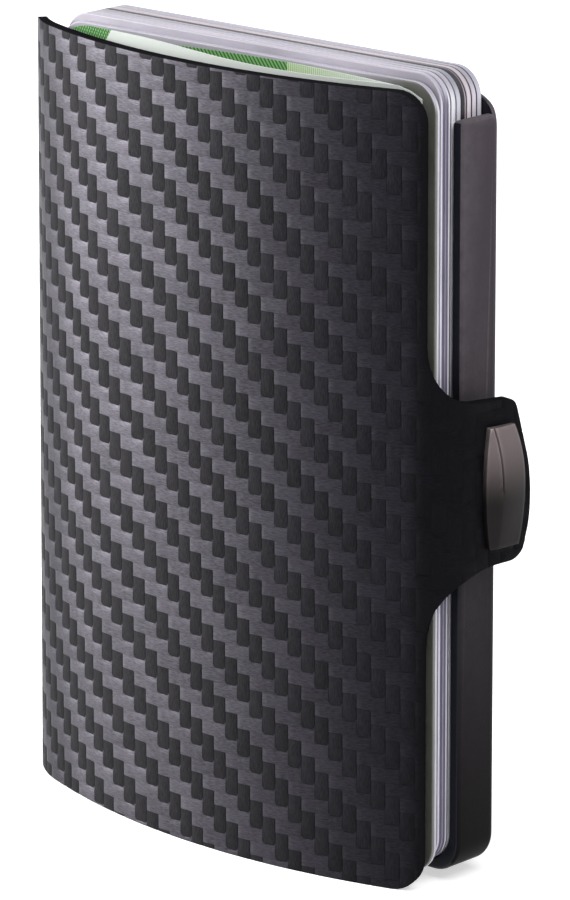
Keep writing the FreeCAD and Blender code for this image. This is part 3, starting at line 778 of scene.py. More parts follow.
@dataclass(frozen=True)
class WovenLeather:
    """Black leather with a pressed 2/2 twill: level floats shine, upright ones stay dark.

    The floats are painted paler from the cover's right edge to its middle, level ones most:
    a painted highlight. From the fold on the painted highlight falls away and they are darker
    again, and the tab stays near black under painted shade.
    """

    name: str = "woven_leather"
    upright: Point = (0.0112, 0.0106, 0.0142)
    # Painted highlight colour of the upright floats.
    upright_highlit: Point = (0.027, 0.0255, 0.029)
    level: Point = (0.0140, 0.0134, 0.0178)
    # Painted highlight colour of the level floats.
    level_highlit: Point = (0.106, 0.099, 0.117)
    # Painted shade in the grooves between floats.
    groove: Point = (0.003, 0.003, 0.004)
    # Painted highlight: where it rises along the leather, and where it falls away towards the
    # fold.
    highlight_from: float = 0.0 * MM
    highlight_to: float = 42.0 * MM
    highlight_fall_from: float = 48.0 * MM
    highlight_fall_to: float = 60.0 * MM
    highlight_fall_share: float = 0.23
    # Darkening along the cover's right edge for its edge paint, and over the tab as painted shade.
    edge_paint_and_shade_from: float = -0.2 * MM
    edge_paint_and_shade_to: float = 2.2 * MM
    edge_paint_and_shade_value: float = 0.36
    # Painted light from above: the value runs from the bottom to the top.
    top: float = 84.0 * MM
    painted_low_value: float = 0.84
    painted_top_value: float = 1.12
    patch_scale: Point = (40.0, 30.0, 1.0)
    patch_contrast: float = 0.5
    fibre_contrast: float = 1.9
    fibre_base: float = -0.10
    float_contrast: float = 0.28
    # Shares of the grooves' painted shade on upright and level floats.
    upright_groove_shade: float = 0.7
    level_groove_shade: float = 0.14
    fibre_rough: float = 0.16
    fibre_bump: float = 0.7
    fibre_depth: float = 0.06 * MM
    upright_rough: float = 0.60
    level_rough: float = 0.45
    level_sheen: float = 0.42
    shine: float = 0.05

    def make(self, effects: Effects, weave: TwillWeave) -> bpy.types.Material:
        """Build the material.

        Args:
            effects: the shared node groups.
            weave: gives the places on the weave's map.

        Returns:
            The material, which reads the weave's own UV map.
        """
        material, w, shader = new_material(self.name, Specular_IOR_Level=self.shine)
        layout = w.node("UVMap", uv_map="weave").outputs[0]
        twill = use_group(w, effects.twill, Map=layout)
        level, fibre = twill.outputs["Level"], twill.outputs["Fibre"]
        column, row, _ = w.parts(layout)
        # Shares along the leather: the painted highlight's rise, its fall towards the fold, and
        # the darkening at the cover's edge and over the tab.
        highlight_rise, highlight_fall, edge_paint_and_shade = (
            w.span(column, weave.uv(first, 0.0)[0], weave.uv(last, 0.0)[0], soft=True)
            for first, last in ((self.highlight_from, self.highlight_to),
                                (self.highlight_fall_from, self.highlight_fall_to),
                                (self.edge_paint_and_shade_from, self.edge_paint_and_shade_to)))
        patches = w.noise(w.scaled(layout, self.patch_scale), 1.0, 2.0, 0.5)
        # Painted highlight share, broken into patches.
        wear_and_highlight = w.math("MULTIPLY", highlight_rise,
                        w.math("MULTIPLY_ADD", highlight_fall, self.highlight_fall_share - 1, 1.0))
        wear_and_highlight = w.math("MULTIPLY", wear_and_highlight, w.math("MULTIPLY_ADD", patches, self.patch_contrast,
                                                   1 - self.patch_contrast / 2))
        upright = w.mix(w.math("POWER", wear_and_highlight, 0.5), (*self.upright, 1),
                        (*self.upright_highlit, 1))
        levels = w.mix(wear_and_highlight, (*self.level, 1), (*self.level_highlit, 1))
        value = w.math("ADD", w.math("MULTIPLY_ADD", fibre, self.fibre_contrast, self.fibre_base),
                       w.math("MULTIPLY", twill.outputs["Random"], self.float_contrast))
        # Darker along the cover's right edge, where its edge paint wraps round, and over the whole
        # tab, which is painted shade.
        value = w.math("MULTIPLY", value, w.math("MULTIPLY_ADD", edge_paint_and_shade,
                                                 1 - self.edge_paint_and_shade_value, self.edge_paint_and_shade_value))
        # Painted light: the floats are lighter towards the top.
        rise = w.span(row, weave.uv(0.0, 0.0)[1], weave.uv(0.0, self.top)[1],
                      self.painted_low_value, self.painted_top_value)
        shade = w.valued(w.mix(level, upright, levels), w.math("MULTIPLY", value, rise))
        # Painted shade in the grooves between floats.
        depth = w.math("MULTIPLY", twill.outputs["Groove"],
                       w.blend(level, self.upright_groove_shade, self.level_groove_shade))
        dark = w.mix(depth, shade, (*self.groove, 1))
        w.link(dark, shader.inputs["Base Color"])
        w.link(w.math("MULTIPLY", level, self.level_sheen), shader.inputs["Metallic"])
        rough = w.blend(level, self.upright_rough, self.level_rough)
        w.link(w.math("ADD", rough, w.math("MULTIPLY_ADD", fibre, self.fibre_rough,
                                           -self.fibre_rough / 2)),
               shader.inputs["Roughness"])
        w.link(w.bump(fibre, self.fibre_bump, self.fibre_depth), shader.inputs["Normal"])
        return material


@dataclass(frozen=True)
class GrainedFinish:
    """A plain finish with fine grain, a slow mottle, worn edges and painted light by height."""

    name: str
    colour: Point
    shade: Point
    rough: float
    grain_scale: float = 9000.0
    grain_depth: float = 0.02 * MM
    grain_strength: float = 0.4
    mottle_scale: float = 60.0
    wear: float = 0.4
    worn: Point = (0.2, 0.2, 0.2)
    metallic: float = 0.0
    shine: float = 0.5
    mottle_rough: float = 0.14
    # Painted light: the colour's value is scaled from the low value at the low height to the high
    # value at the high height.
    painted_light_low: float = 0.0
    painted_light_high: float = 0.1
    painted_low_value: float = 1.0
    painted_high_value: float = 1.0

    def make(self, effects: Effects) -> bpy.types.Material:
        """Build the material.

        Args:
            effects: the shared node groups.

        Returns:
            The material, on Object coordinates.
        """
        material, w, shader = new_material(
            self.name, Metallic=self.metallic, Specular_IOR_Level=self.shine)
        place = w.node("TexCoord").outputs["Object"]
        grain = use_group(w, effects.grain, Place=place, Grain_Scale=self.grain_scale,
                          Mottle_Scale=self.mottle_scale)
        wear = use_group(w, effects.edge_wear, Place=place, Amount=self.wear)
        mottled = w.mix(grain.outputs["Mottle"], (*self.shade, 1), (*self.colour, 1))
        # Painted light: the value scales with height.
        fade = w.span(w.parts(place)[2], self.painted_light_low, self.painted_light_high, self.painted_low_value,
                      self.painted_high_value, soft=True)
        wear_and_highlight = w.mix(wear.outputs["Mask"], mottled, (*self.worn, 1))
        w.link(w.valued(wear_and_highlight, fade), shader.inputs["Base Color"])
        w.link(w.math("MULTIPLY_ADD", grain.outputs["Mottle"], self.mottle_rough,
                      self.rough - self.mottle_rough / 2), shader.inputs["Roughness"])
        w.link(w.bump(grain.outputs["Height"], self.grain_strength, self.grain_depth),
               shader.inputs["Normal"])
        return material


@dataclass(frozen=True)
class CardPlastic:
    """Card stock whose rim has one tint along its top and another down its sides."""

    name: str
    top: Point
    side: Point
    turn_low: float
    turn_high: float
    band: Point = (0.0, 0.0, 0.0)
    band_front: float = -1.0
    band_back: float = -0.9
    band_top: float = 1.0
    turn_right: float = 1.0
    turn_left: float = 0.9
    rough: float = 0.36
    mottle_rough: float = 0.10
    streak_scale: Point = (90.0, 5200.0, 260.0)
    streak_contrast: float = 0.80
    streak_base: float = 0.60
    grain_scale: float = 4000.0
    grain_bump: float = 0.15
    grain_depth: float = 0.01 * MM

    def make(self, effects: Effects) -> bpy.types.Material:
        """Build the material.

        Args:
            effects: the shared node groups.

        Returns:
            The material, on Object coordinates.
        """
        material, w, shader = new_material(self.name, Specular_IOR_Level=0.4)
        place = w.node("TexCoord").outputs["Object"]
        across, deep, up = w.parts(place)
        share = w.math("MULTIPLY", w.span(up, self.turn_low, self.turn_high, soft=True),
                       w.span(across, self.turn_left, self.turn_right, 1.0, 0.0))
        tint = w.mix(share, (*self.side, 1), (*self.top, 1))
        edges = [w.math(operation, deep, limit) for operation, limit in (
            ("GREATER_THAN", self.band_front), ("LESS_THAN", self.band_back))]
        band = w.math("MULTIPLY", w.math("MULTIPLY", *edges),
                      w.math("MULTIPLY_ADD", share, self.band_top - 1, 1.0))
        tint = w.mix(band, tint, (*self.band, 1))
        streaks = w.noise(w.scaled(place, self.streak_scale), 1.0, 3.0, 0.6)
        grain = use_group(w, effects.grain, Place=place, Grain_Scale=self.grain_scale)
        value = w.math("MULTIPLY_ADD", streaks, self.streak_contrast, self.streak_base)
        w.link(w.valued(tint, value), shader.inputs["Base Color"])
        w.link(w.math("MULTIPLY_ADD", grain.outputs["Mottle"], self.mottle_rough,
                      self.rough - self.mottle_rough / 2), shader.inputs["Roughness"])
        w.link(w.bump(grain.outputs["Height"], self.grain_bump, self.grain_depth),
               shader.inputs["Normal"])
        return material


@dataclass(frozen=True)
class NotePaper:
    """Cotton note paper: dense green tints at the fold and plain paper beyond.

    The note's map holds lengths in tenths of a metre: across, measured from the cards' right
    edge, with the rear leaf one unit further on, and up.
    """

    name: str = "note_paper"
    paper: Point = (0.70, 0.74, 0.70)
    tint: Point = (0.22, 0.45, 0.17)
    ink: Point = (0.035, 0.150, 0.030)
    light_tint: Point = (0.66, 0.78, 0.52)
    light_ink: Point = (0.30, 0.50, 0.22)
    fold_print: float = 0.436
    fold_slant: float = -0.8
    rear_print: float = 1.199
    rear_end: float = 1.07
    rear_from: float = 0.8
    top: float = 0.85
    lattice_pace: float = 1250.0
    slope_pace: float = 1150.0
    slope: float = 900.0
    stripe_pace: float = 2300.0
    grain_scale: float = 2500.0
    grain_bump: float = 0.3
    grain_depth: float = 0.03 * MM

    def make(self, effects: Effects) -> bpy.types.Material:
        """Build the material.

        Args:
            effects: the shared node groups.

        Returns:
            The material, which reads the note's own UV map.
        """
        material, w, shader = new_material(self.name, Roughness=0.75, Specular_IOR_Level=0.2)
        across, up, _ = w.parts(w.node("UVMap", uv_map="print").outputs[0])
        slanted = w.math("MULTIPLY_ADD", w.math("SUBTRACT", self.top, up), self.fold_slant, across)
        rear = w.math("GREATER_THAN", across, self.rear_from)
        lattice = w.math("MAXIMUM", self.lines(w, across, up, self.lattice_pace, self.slope),
                         self.lines(w, across, up, self.lattice_pace, -self.slope))
        at_fold = w.mix(w.math("GREATER_THAN", lattice, 0.30), (*self.tint, 1), (*self.ink, 1))
        front = w.mix(w.math("GREATER_THAN", slanted, self.fold_print), (*self.paper, 1), at_fold)
        slopes = self.lines(w, across, up, self.slope_pace, -self.slope)
        dense = w.mix(w.math("GREATER_THAN", slopes, 0.1), (*self.tint, 1), (*self.ink, 1))
        upright = w.math("GREATER_THAN", self.lines(w, across, up, self.stripe_pace, 0.0), 0.2)
        light = w.mix(upright, (*self.light_tint, 1), (*self.light_ink, 1))
        faded = w.mix(w.span(across, self.rear_end, self.rear_print), (*self.paper, 1), light)
        behind = w.mix(w.math("GREATER_THAN", across, self.rear_print), faded, dense)
        w.link(w.mix(rear, front, behind), shader.inputs["Base Color"])
        place = w.node("TexCoord").outputs["Object"]
        fibres = use_group(w, effects.grain, Place=place, Grain_Scale=self.grain_scale)
        w.link(w.bump(fibres.outputs["Height"], self.grain_bump, self.grain_depth),
               shader.inputs["Normal"])
        return material

    @staticmethod
    def lines(w: Wiring, across: object, up: object, pace: float,
              slope: float) -> bpy.types.NodeSocket:
        """Wave of fine parallel lines over the map; returns its value."""
        run = w.math("ADD", w.math("MULTIPLY", across, pace), w.math("MULTIPLY", up, slope))
        return w.math("SINE", run)


# --------------------------------------------------------------------------
# The leather sleeve: back with spine, and cover with closing tab
# --------------------------------------------------------------------------
class SleeveFace(Enum):
    """Material slots of a leather piece."""

    SKIN = 0
    LINING = 1
    EDGE = 2


@dataclass
class LeatherPiece:
    """One flat-cut piece of leather that is then wrapped round the wallet."""

    datum: Datum
    plan: LeatherPlan
    weave: TwillWeave
    finishes: tuple[bpy.types.Material, ...]
    low: float = -2.13 * MM
    edge_round: float = 0.22 * MM
    edge_steps: int = 2
    fold_draw: float = 0.0077
    fold_level: float = 33.0 * MM
    fold_heading: float = math.radians(47.0)
    fold_spread: float = math.radians(38.0)
    corner_steps: int = 8

    def grid(self, first: float, last: float, top: float) -> None:
        """In edit mode, cut the blank along the weave's columns and rows.

        Args:
            first: arc length at the blank's start.
            last: arc length at its end.
            top: height of its top edge.
        """
        weave = self.weave
        columns = weave.cuts(weave.column(first), weave.column(last))
        Workbench.slice(columns, (1, 0, 0), lambda mark: (-weave.column_arc(mark), 0, 0))
        rows = weave.cuts(weave.row(first, self.low), weave.row(last, top))
        normal = Vector((-weave.lean, 0, 1)).normalized()
        Workbench.slice(rows, normal, lambda mark: (
            0, 0, weave.row_start + mark * weave.row_pitch))

    def thicken(self, piece: bpy.types.Object) -> None:
        """Give the flat blank its skin, lining and painted edge, and round its cut edges.

        Args:
            piece: the flat blank.
        """
        for finish in self.finishes:
            piece.data.materials.append(finish)
        Workbench.modify(piece, "SOLIDIFY", thickness=self.plan.thickness, offset=-1,
                         use_rim=True, material_offset=SleeveFace.LINING.value,
                         material_offset_rim=SleeveFace.EDGE.value)
        Workbench.modify(piece, "BEVEL", width=self.edge_round, segments=self.edge_steps,
                         limit_method="ANGLE", angle_limit=math.radians(60),
                         material=SleeveFace.EDGE.value)

    def wrap(self, piece: bpy.types.Object) -> None:
        """Press the weave into the flat piece, map it, and bend it to the plan.

        Args:
            piece: the flat piece, with its thickness.
        """
        mesh, plan, weave = piece.data, self.plan, self.weave
        layout = mesh.uv_layers.new(name="weave")
        places = [(-vertex.co.x, vertex.co.y, vertex.co.z) for vertex in mesh.vertices]
        for loop in mesh.loops:
            arc, _, height = places[loop.vertex_index]
            layout.data[loop.index].uv = weave.uv(arc, height)
        for vertex, (arc, depth, height) in zip(mesh.vertices, places):
            share = 1 - min(depth / self.edge_round, 1.0)
            pull = self.draw(arc, height) * (1 - depth / plan.thickness)
            if share > 0:
                depth += weave.sink(arc, height) * share
            depth += pull
            flat = plan.point(arc, depth)
            vertex.co = self.datum.place(flat.x, flat.y, height)
        mesh.update()

    def draw(self, arc: float, height: float) -> float:
        """Find how far the skin is drawn in round the fold, tighter towards the top.

        Args:
            arc: arc length along the leather.
            height: height above the cards' underside.

        Returns:
            The distance inwards.
        """
        away = min(abs(self.plan.heading(arc) - self.fold_heading) / self.fold_spread, 1.0)
        share = 0.5 + 0.5 * math.cos(math.pi * away)
        return self.fold_draw * (height - self.fold_level) * share


@dataclass
class CoverWithTab(LeatherPiece):
    """Front cover and closing tab, one piece of leather."""

    top: float = 84.3 * MM
    corner: float = 3.4 * MM
    hinge_corner: float = 2.8 * MM
    tab_middle: float = 42.4 * MM
    tab_tall: float = 18.6 * MM
    tab_bow: float = 2.08 * MM
    tab_apex: float = 2.55 * MM
    tab_droop: float = 1.5 * MM
    tab_lower_out: float = 0.9 * MM
    tab_upper_in: float = 0.2 * MM
    tab_narrow: float = 0.5 * MM
    tab_end_reach: float = 4.2 * MM
    tab_upper_reach: float = 1.0 * MM
    tab_lower_reach: float = 1.7 * MM
    neck_upper: float = 5.6 * MM
    neck_lower: float = 8.6 * MM

    def build(self) -> bpy.types.Object:
        """Cut the blank, round its corners, and wrap it.

        Returns:
            The finished leather, wrapped to the plan round the cover and the tab.
        """
        plan = self.plan
        tab_low = self.tab_middle - self.tab_tall / 2
        tab_high = self.tab_middle + self.tab_tall / 2
        piece = Workbench.blank("cover_leather", -plan.hinge, 0.0, self.low, self.top)
        bpy.ops.object.mode_set(mode="EDIT")
        Workbench.slice([tab_low, tab_high], (0, 0, 1), lambda z: (0, 0, z))
        Workbench.pick(piece, Element.EDGE,
                       lambda p: abs(p.x) < NEAR and tab_low < p.z < tab_high)
        shoulder = -plan.tab_end - self.tab_bow
        bpy.ops.mesh.extrude_region_move(TRANSFORM_OT_translate={"value": (shoulder, 0, 0)})
        Workbench.pick(piece, Element.EDGE, lambda p: abs(p.x - shoulder) < NEAR)
        bpy.ops.mesh.subdivide(number_cuts=1)
        Workbench.pick(piece, Element.VERT, lambda p: math.hypot(
            p.x - shoulder, p.z - self.tab_middle) < NEAR)
        apex = (shoulder + self.tab_apex, self.tab_middle - self.tab_droop)
        bpy.ops.transform.translate(value=(self.tab_apex, 0, -self.tab_droop))
        upper_end = (shoulder - self.tab_upper_in, tab_high - self.tab_narrow)
        lower_end = (shoulder + self.tab_lower_out, tab_low + self.tab_narrow)
        for start, end in (((shoulder, tab_high), upper_end), ((shoulder, tab_low), lower_end)):
            Workbench.pick(piece, Element.VERT, lambda p: math.hypot(
                p.x - start[0], p.z - start[1]) < NEAR)
            bpy.ops.transform.translate(value=(end[0] - start[0], 0, end[1] - start[1]))
        bpy.ops.mesh.select_all(action="SELECT")
        bpy.ops.mesh.dissolve_faces()
        corners = [
            ((0.0, self.top), self.corner), ((0.0, self.low), self.corner),
            ((-plan.hinge, self.top), self.hinge_corner),
            ((0.0, tab_high), self.neck_upper), ((0.0, tab_low), self.neck_lower),
            (upper_end, self.tab_upper_reach), (lower_end, self.tab_lower_reach),
            (apex, self.tab_end_reach),
        ]
        for (x, z), radius in corners:
            Workbench.pick(piece, Element.VERT, lambda p: math.hypot(p.x - x, p.z - z) < TOUCH)
            bpy.ops.mesh.bevel(offset=radius, segments=self.corner_steps, affect="VERTICES")
        bpy.ops.mesh.select_mode(type="FACE")
        self.grid(plan.tab_end, plan.hinge, self.top)
        bpy.ops.object.mode_set(mode="OBJECT")
        self.thicken(piece)
        self.wrap(piece)
        Workbench.smooth(piece, 50)
        self.mark(0.0)
        self.mark(plan.bend_end)
        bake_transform(piece)
        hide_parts("front_leather", "front_lining", "tab_leather", "tab_lining")
        return piece

    def mark(self, arc: float) -> Vector:
        """Point on the skin at an arc length, level with the tab's middle."""
        flat = self.plan.point(arc, 0.0)
        return self.datum.place(flat.x, flat.y, self.tab_middle)


@dataclass
class BackWithSpine(LeatherPiece):
    """Back panel and spine, one piece of leather with the thumb window."""

    top: float = 81.0 * MM
    corner: float = 4.0 * MM
    window_wide: float = 17.0 * MM
    window_low: float = 13.0 * MM
    window_high: float = 45.0 * MM
    blend_heading: float = math.radians(70.0)

    def build(self) -> bpy.types.Object:
        """Cut the blank, round its corners, open the window, and wrap it.

        Returns:
            The finished leather, wrapped round the spine to the back.
        """
        plan = self.plan
        piece = Workbench.blank("back_leather_panel", -plan.back_end, -plan.hinge,
                                self.low, self.top)
        bpy.ops.object.mode_set(mode="EDIT")
        for z in (self.top, self.low):
            Workbench.pick(piece, Element.VERT, lambda p: math.hypot(
                p.x + plan.back_end, p.z - z) < TOUCH)
            bpy.ops.mesh.bevel(offset=self.corner, segments=self.corner_steps,
                               affect="VERTICES")
        bpy.ops.mesh.select_mode(type="FACE")
        self.grid(plan.hinge, plan.back_end, self.top)
        bpy.ops.object.mode_set(mode="OBJECT")
        self.thicken(piece)
        self.open_window(piece)
        self.wrap(piece)
        Workbench.smooth(piece, 50)
        spine_share = (self.blend_heading - plan.hinge_heading) / (math.pi - plan.hinge_heading)
        fold = plan.hinge + (plan.spine_end - plan.hinge) * spine_share
        hinge = plan.point(plan.hinge, 0.0)
        start = self.datum.place(hinge.x, plan.point(fold, 0.0).y, self.top / 2)
        end = self.datum.place(hinge.x, hinge.y, self.top / 2)
        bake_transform(piece)
        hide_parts("back_leather", "back_lining")
        return piece

    def open_window(self, piece: bpy.types.Object) -> None:
        """Cut the round-ended thumb window through the flat piece.

        Args:
            piece: the flat piece, with its thickness.
        """
        plan = self.plan
        centre_x = -self.datum.width / 2
        across = -(plan.back_end - (plan.back_right - centre_x))
        half = self.window_wide / 2
        middle = (self.window_low + self.window_high) / 2
        tall = (self.window_high - self.window_low) / 2
        cutter = Workbench.block("window_cutter", (across - half, -MM, self.window_low),
                                 (across + half, plan.thickness + MM, self.window_high))
        bpy.ops.object.mode_set(mode="EDIT")
        Workbench.pick(cutter, Element.EDGE, lambda p: abs(p.y - plan.thickness / 2) < NEAR
                       and abs(abs(p.z - middle) - tall) < NEAR)
        bpy.ops.mesh.bevel(offset=half * 0.999, segments=20, affect="EDGES")
        bpy.ops.object.mode_set(mode="OBJECT")
        Workbench.modify(piece, "BOOLEAN", object=cutter, operation="DIFFERENCE",
                         solver="EXACT")
        bpy.data.objects.remove(cutter)
        for face in piece.data.polygons:
            aside = abs(face.center.x - across) < half + NEAR
            level = abs(face.center.z - middle) < tall + NEAR
            if aside and level and abs(face.normal.y) < 0.5:
                face.material_index = SleeveFace.EDGE.value


# --------------------------------------------------------------------------
# Tray, cards and metal
# --------------------------------------------------------------------------
@dataclass
class CardTray:
    """Rigid tray with softened edges, grained outside, with a smooth painted-shade finish on its
    front faces and round the cards.
    """

    edge_round: float = 0.42 * MM
    edge_steps: int = 4
    margin: float = 0.05 * MM
    wall_thick: float = 1.2 * MM
    wall_deep: float = 4.0 * MM
    plate_from: float = 4.9 * MM
    card_clear: float = 0.5 * MM
    front_facing: float = -0.85
    rear_facing: float = 0.5
    top_fall: float = 0.8 * MM
    top_from: float = 80.9 * MM
    top_over: float = 3.2 * MM

    def build(self, nodes: dict[str, bpy.types.Object], datum: Datum,
              outside: bpy.types.Material, inside: bpy.types.Material) -> bpy.types.Object:
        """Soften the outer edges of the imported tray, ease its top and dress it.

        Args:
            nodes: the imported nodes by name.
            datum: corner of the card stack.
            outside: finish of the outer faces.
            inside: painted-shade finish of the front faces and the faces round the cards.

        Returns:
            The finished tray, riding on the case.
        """
        piece = Workbench.copy_node(nodes["card_tray"], "tray_shell")
        low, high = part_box("card_tray")
        inner_right = high.x - self.wall_thick + self.margin
        inner_left = low.x + self.wall_thick - self.margin
        inner_low = low.z + MM - self.margin
        wall_top = max(vertex.co.z for vertex in piece.data.vertices
                       if vertex.co.y < low.y + TOUCH)

        def outer(p: Vector) -> bool:
            """Whether an edge's middle lies on the walls' outer front edge or their top."""
            front = abs(p.y - low.y) < TOUCH
            within = inner_left < p.x < inner_right and p.z > inner_low
            at_top = p.y < low.y + self.wall_deep and abs(p.z - wall_top) < TOUCH
            return (front and not within) or at_top

        bpy.ops.object.mode_set(mode="EDIT")
        found = Workbench.pick(piece, Element.EDGE, outer)
        log.info("tray_shell: %d outer edges softened", found)
        bpy.ops.mesh.bevel(offset=self.edge_round, segments=self.edge_steps, affect="EDGES",
                           clamp_overlap=False)
        bpy.ops.object.mode_set(mode="OBJECT")
        for vertex in piece.data.vertices:
            if vertex.co.y > low.y + self.plate_from:
                share = min(max((vertex.co.z - datum.floor - self.top_from) / self.top_over,
                                0.0), 1.0)
                vertex.co.z -= self.top_fall * share * share * (3 - 2 * share)
        Workbench.smooth(piece, 40)
        for finish in (outside, inside):
            piece.data.materials.append(finish)
        low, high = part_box("card_9")
        # Front faces and the faces round the cards take the painted-shade finish.
        for face in piece.data.polygons:
            facing, x = face.normal, face.center.x
            within = (low.x - self.card_clear < x < high.x + self.card_clear
                      and facing.y < self.rear_facing)
            if facing.y < self.front_facing or within:
                face.material_index = 1
        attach(piece, "case")
        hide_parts("card_tray")
        return piece


@dataclass(frozen=True)
class CardTints:
    """Tints of one card: faces, rim along the top and down the sides, band on its front."""

    face: Point
    top: Point
    side: Point
    front_wide: float = -0.5 * MM
    front: Point = (0.022, 0.017, 0.026)
    front_top: float = 0.0
    edge_round: float = 0.16 * MM


@dataclass
class CardStack:
    """Nine cards with rounded rims, each in its own tints."""

    corner: float = 3.2 * MM
    rim_steps: int = 3
    face_turn: tuple[float, float] = (1.8 * MM, 0.6 * MM)
    face_right: tuple[float, float] = (4.0 * MM, 12.0 * MM)
    tints: tuple = (
        # card_1's dark olive face and its front band are painted shade, where the cover shades it.
        CardTints((0.100, 0.100, 0.088), (0.40, 0.38, 0.44), (0.72, 0.70, 0.80), 0.36 * MM,
                  (0.20, 0.20, 0.185)),
        CardTints((0.30, 0.28, 0.33), (0.45, 0.42, 0.49), (0.15, 0.135, 0.20), 0.30 * MM,
                  (0.70, 0.68, 0.78)),
        CardTints((0.30, 0.28, 0.35), (0.44, 0.42, 0.49), (0.86, 0.84, 0.92), 0.42 * MM,
                  (0.15, 0.135, 0.20)),
        CardTints((0.14, 0.14, 0.18), (0.41, 0.375, 0.435), (0.78, 0.77, 0.84)),
        CardTints((0.16, 0.16, 0.20), (0.29, 0.30, 0.36), (0.66, 0.67, 0.74)),
        # card_6's near-black face and its front band, along its top too, are the painted shade of
        # the gap between cards 5 and 6.
        CardTints((0.020, 0.015, 0.022), (0.20, 0.165, 0.18), (0.50, 0.44, 0.46), 0.50 * MM,
                  front_top=1.0),
        CardTints((0.07, 0.06, 0.08), (0.46, 0.41, 0.45), (0.70, 0.62, 0.68)),
        CardTints((0.07, 0.06, 0.08), (0.34, 0.315, 0.365), (0.66, 0.60, 0.68)),
        CardTints((0.07, 0.065, 0.10), (0.38, 0.375, 0.45), (0.68, 0.66, 0.74)),
    )

    def build(self, nodes: dict[str, bpy.types.Object],
              effects: Effects) -> list[bpy.types.Object]:
        """Make the nine cards and dress them.

        Args:
            nodes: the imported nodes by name.
            effects: the shared node groups.

        Returns:
            The finished cards, each riding on its own body.
        """
        made = []
        for number, tints in enumerate(self.tints, start=1):
            name = f"card_{number}"
            piece = Workbench.copy_node(nodes[name], f"{name}_plastic")
            Workbench.modify(piece, "BEVEL", width=tints.edge_round, segments=self.rim_steps,
                             limit_method="ANGLE", angle_limit=math.radians(60))
            Workbench.smooth(piece, 40)
            low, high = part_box(name)
            face = CardPlastic(f"{name}_face", tints.top, tints.face,
                               *(high.z - drop for drop in self.face_turn),
                               turn_right=high.x - self.face_right[0],
                               turn_left=high.x - self.face_right[1])
            rim = CardPlastic(f"{name}_rim", tints.top, tints.side, high.z - self.corner,
                              high.z - self.corner / 4, tints.front,
                              low.y - MM, low.y + tints.front_wide, tints.front_top)
            for finish in (face, rim):
                piece.data.materials.append(finish.make(effects))
            for polygon in piece.data.polygons:
                polygon.material_index = 0 if abs(polygon.normal.y) > 0.55 else 1
            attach(piece, name)
            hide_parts(name)
            made.append(piece)
        return made


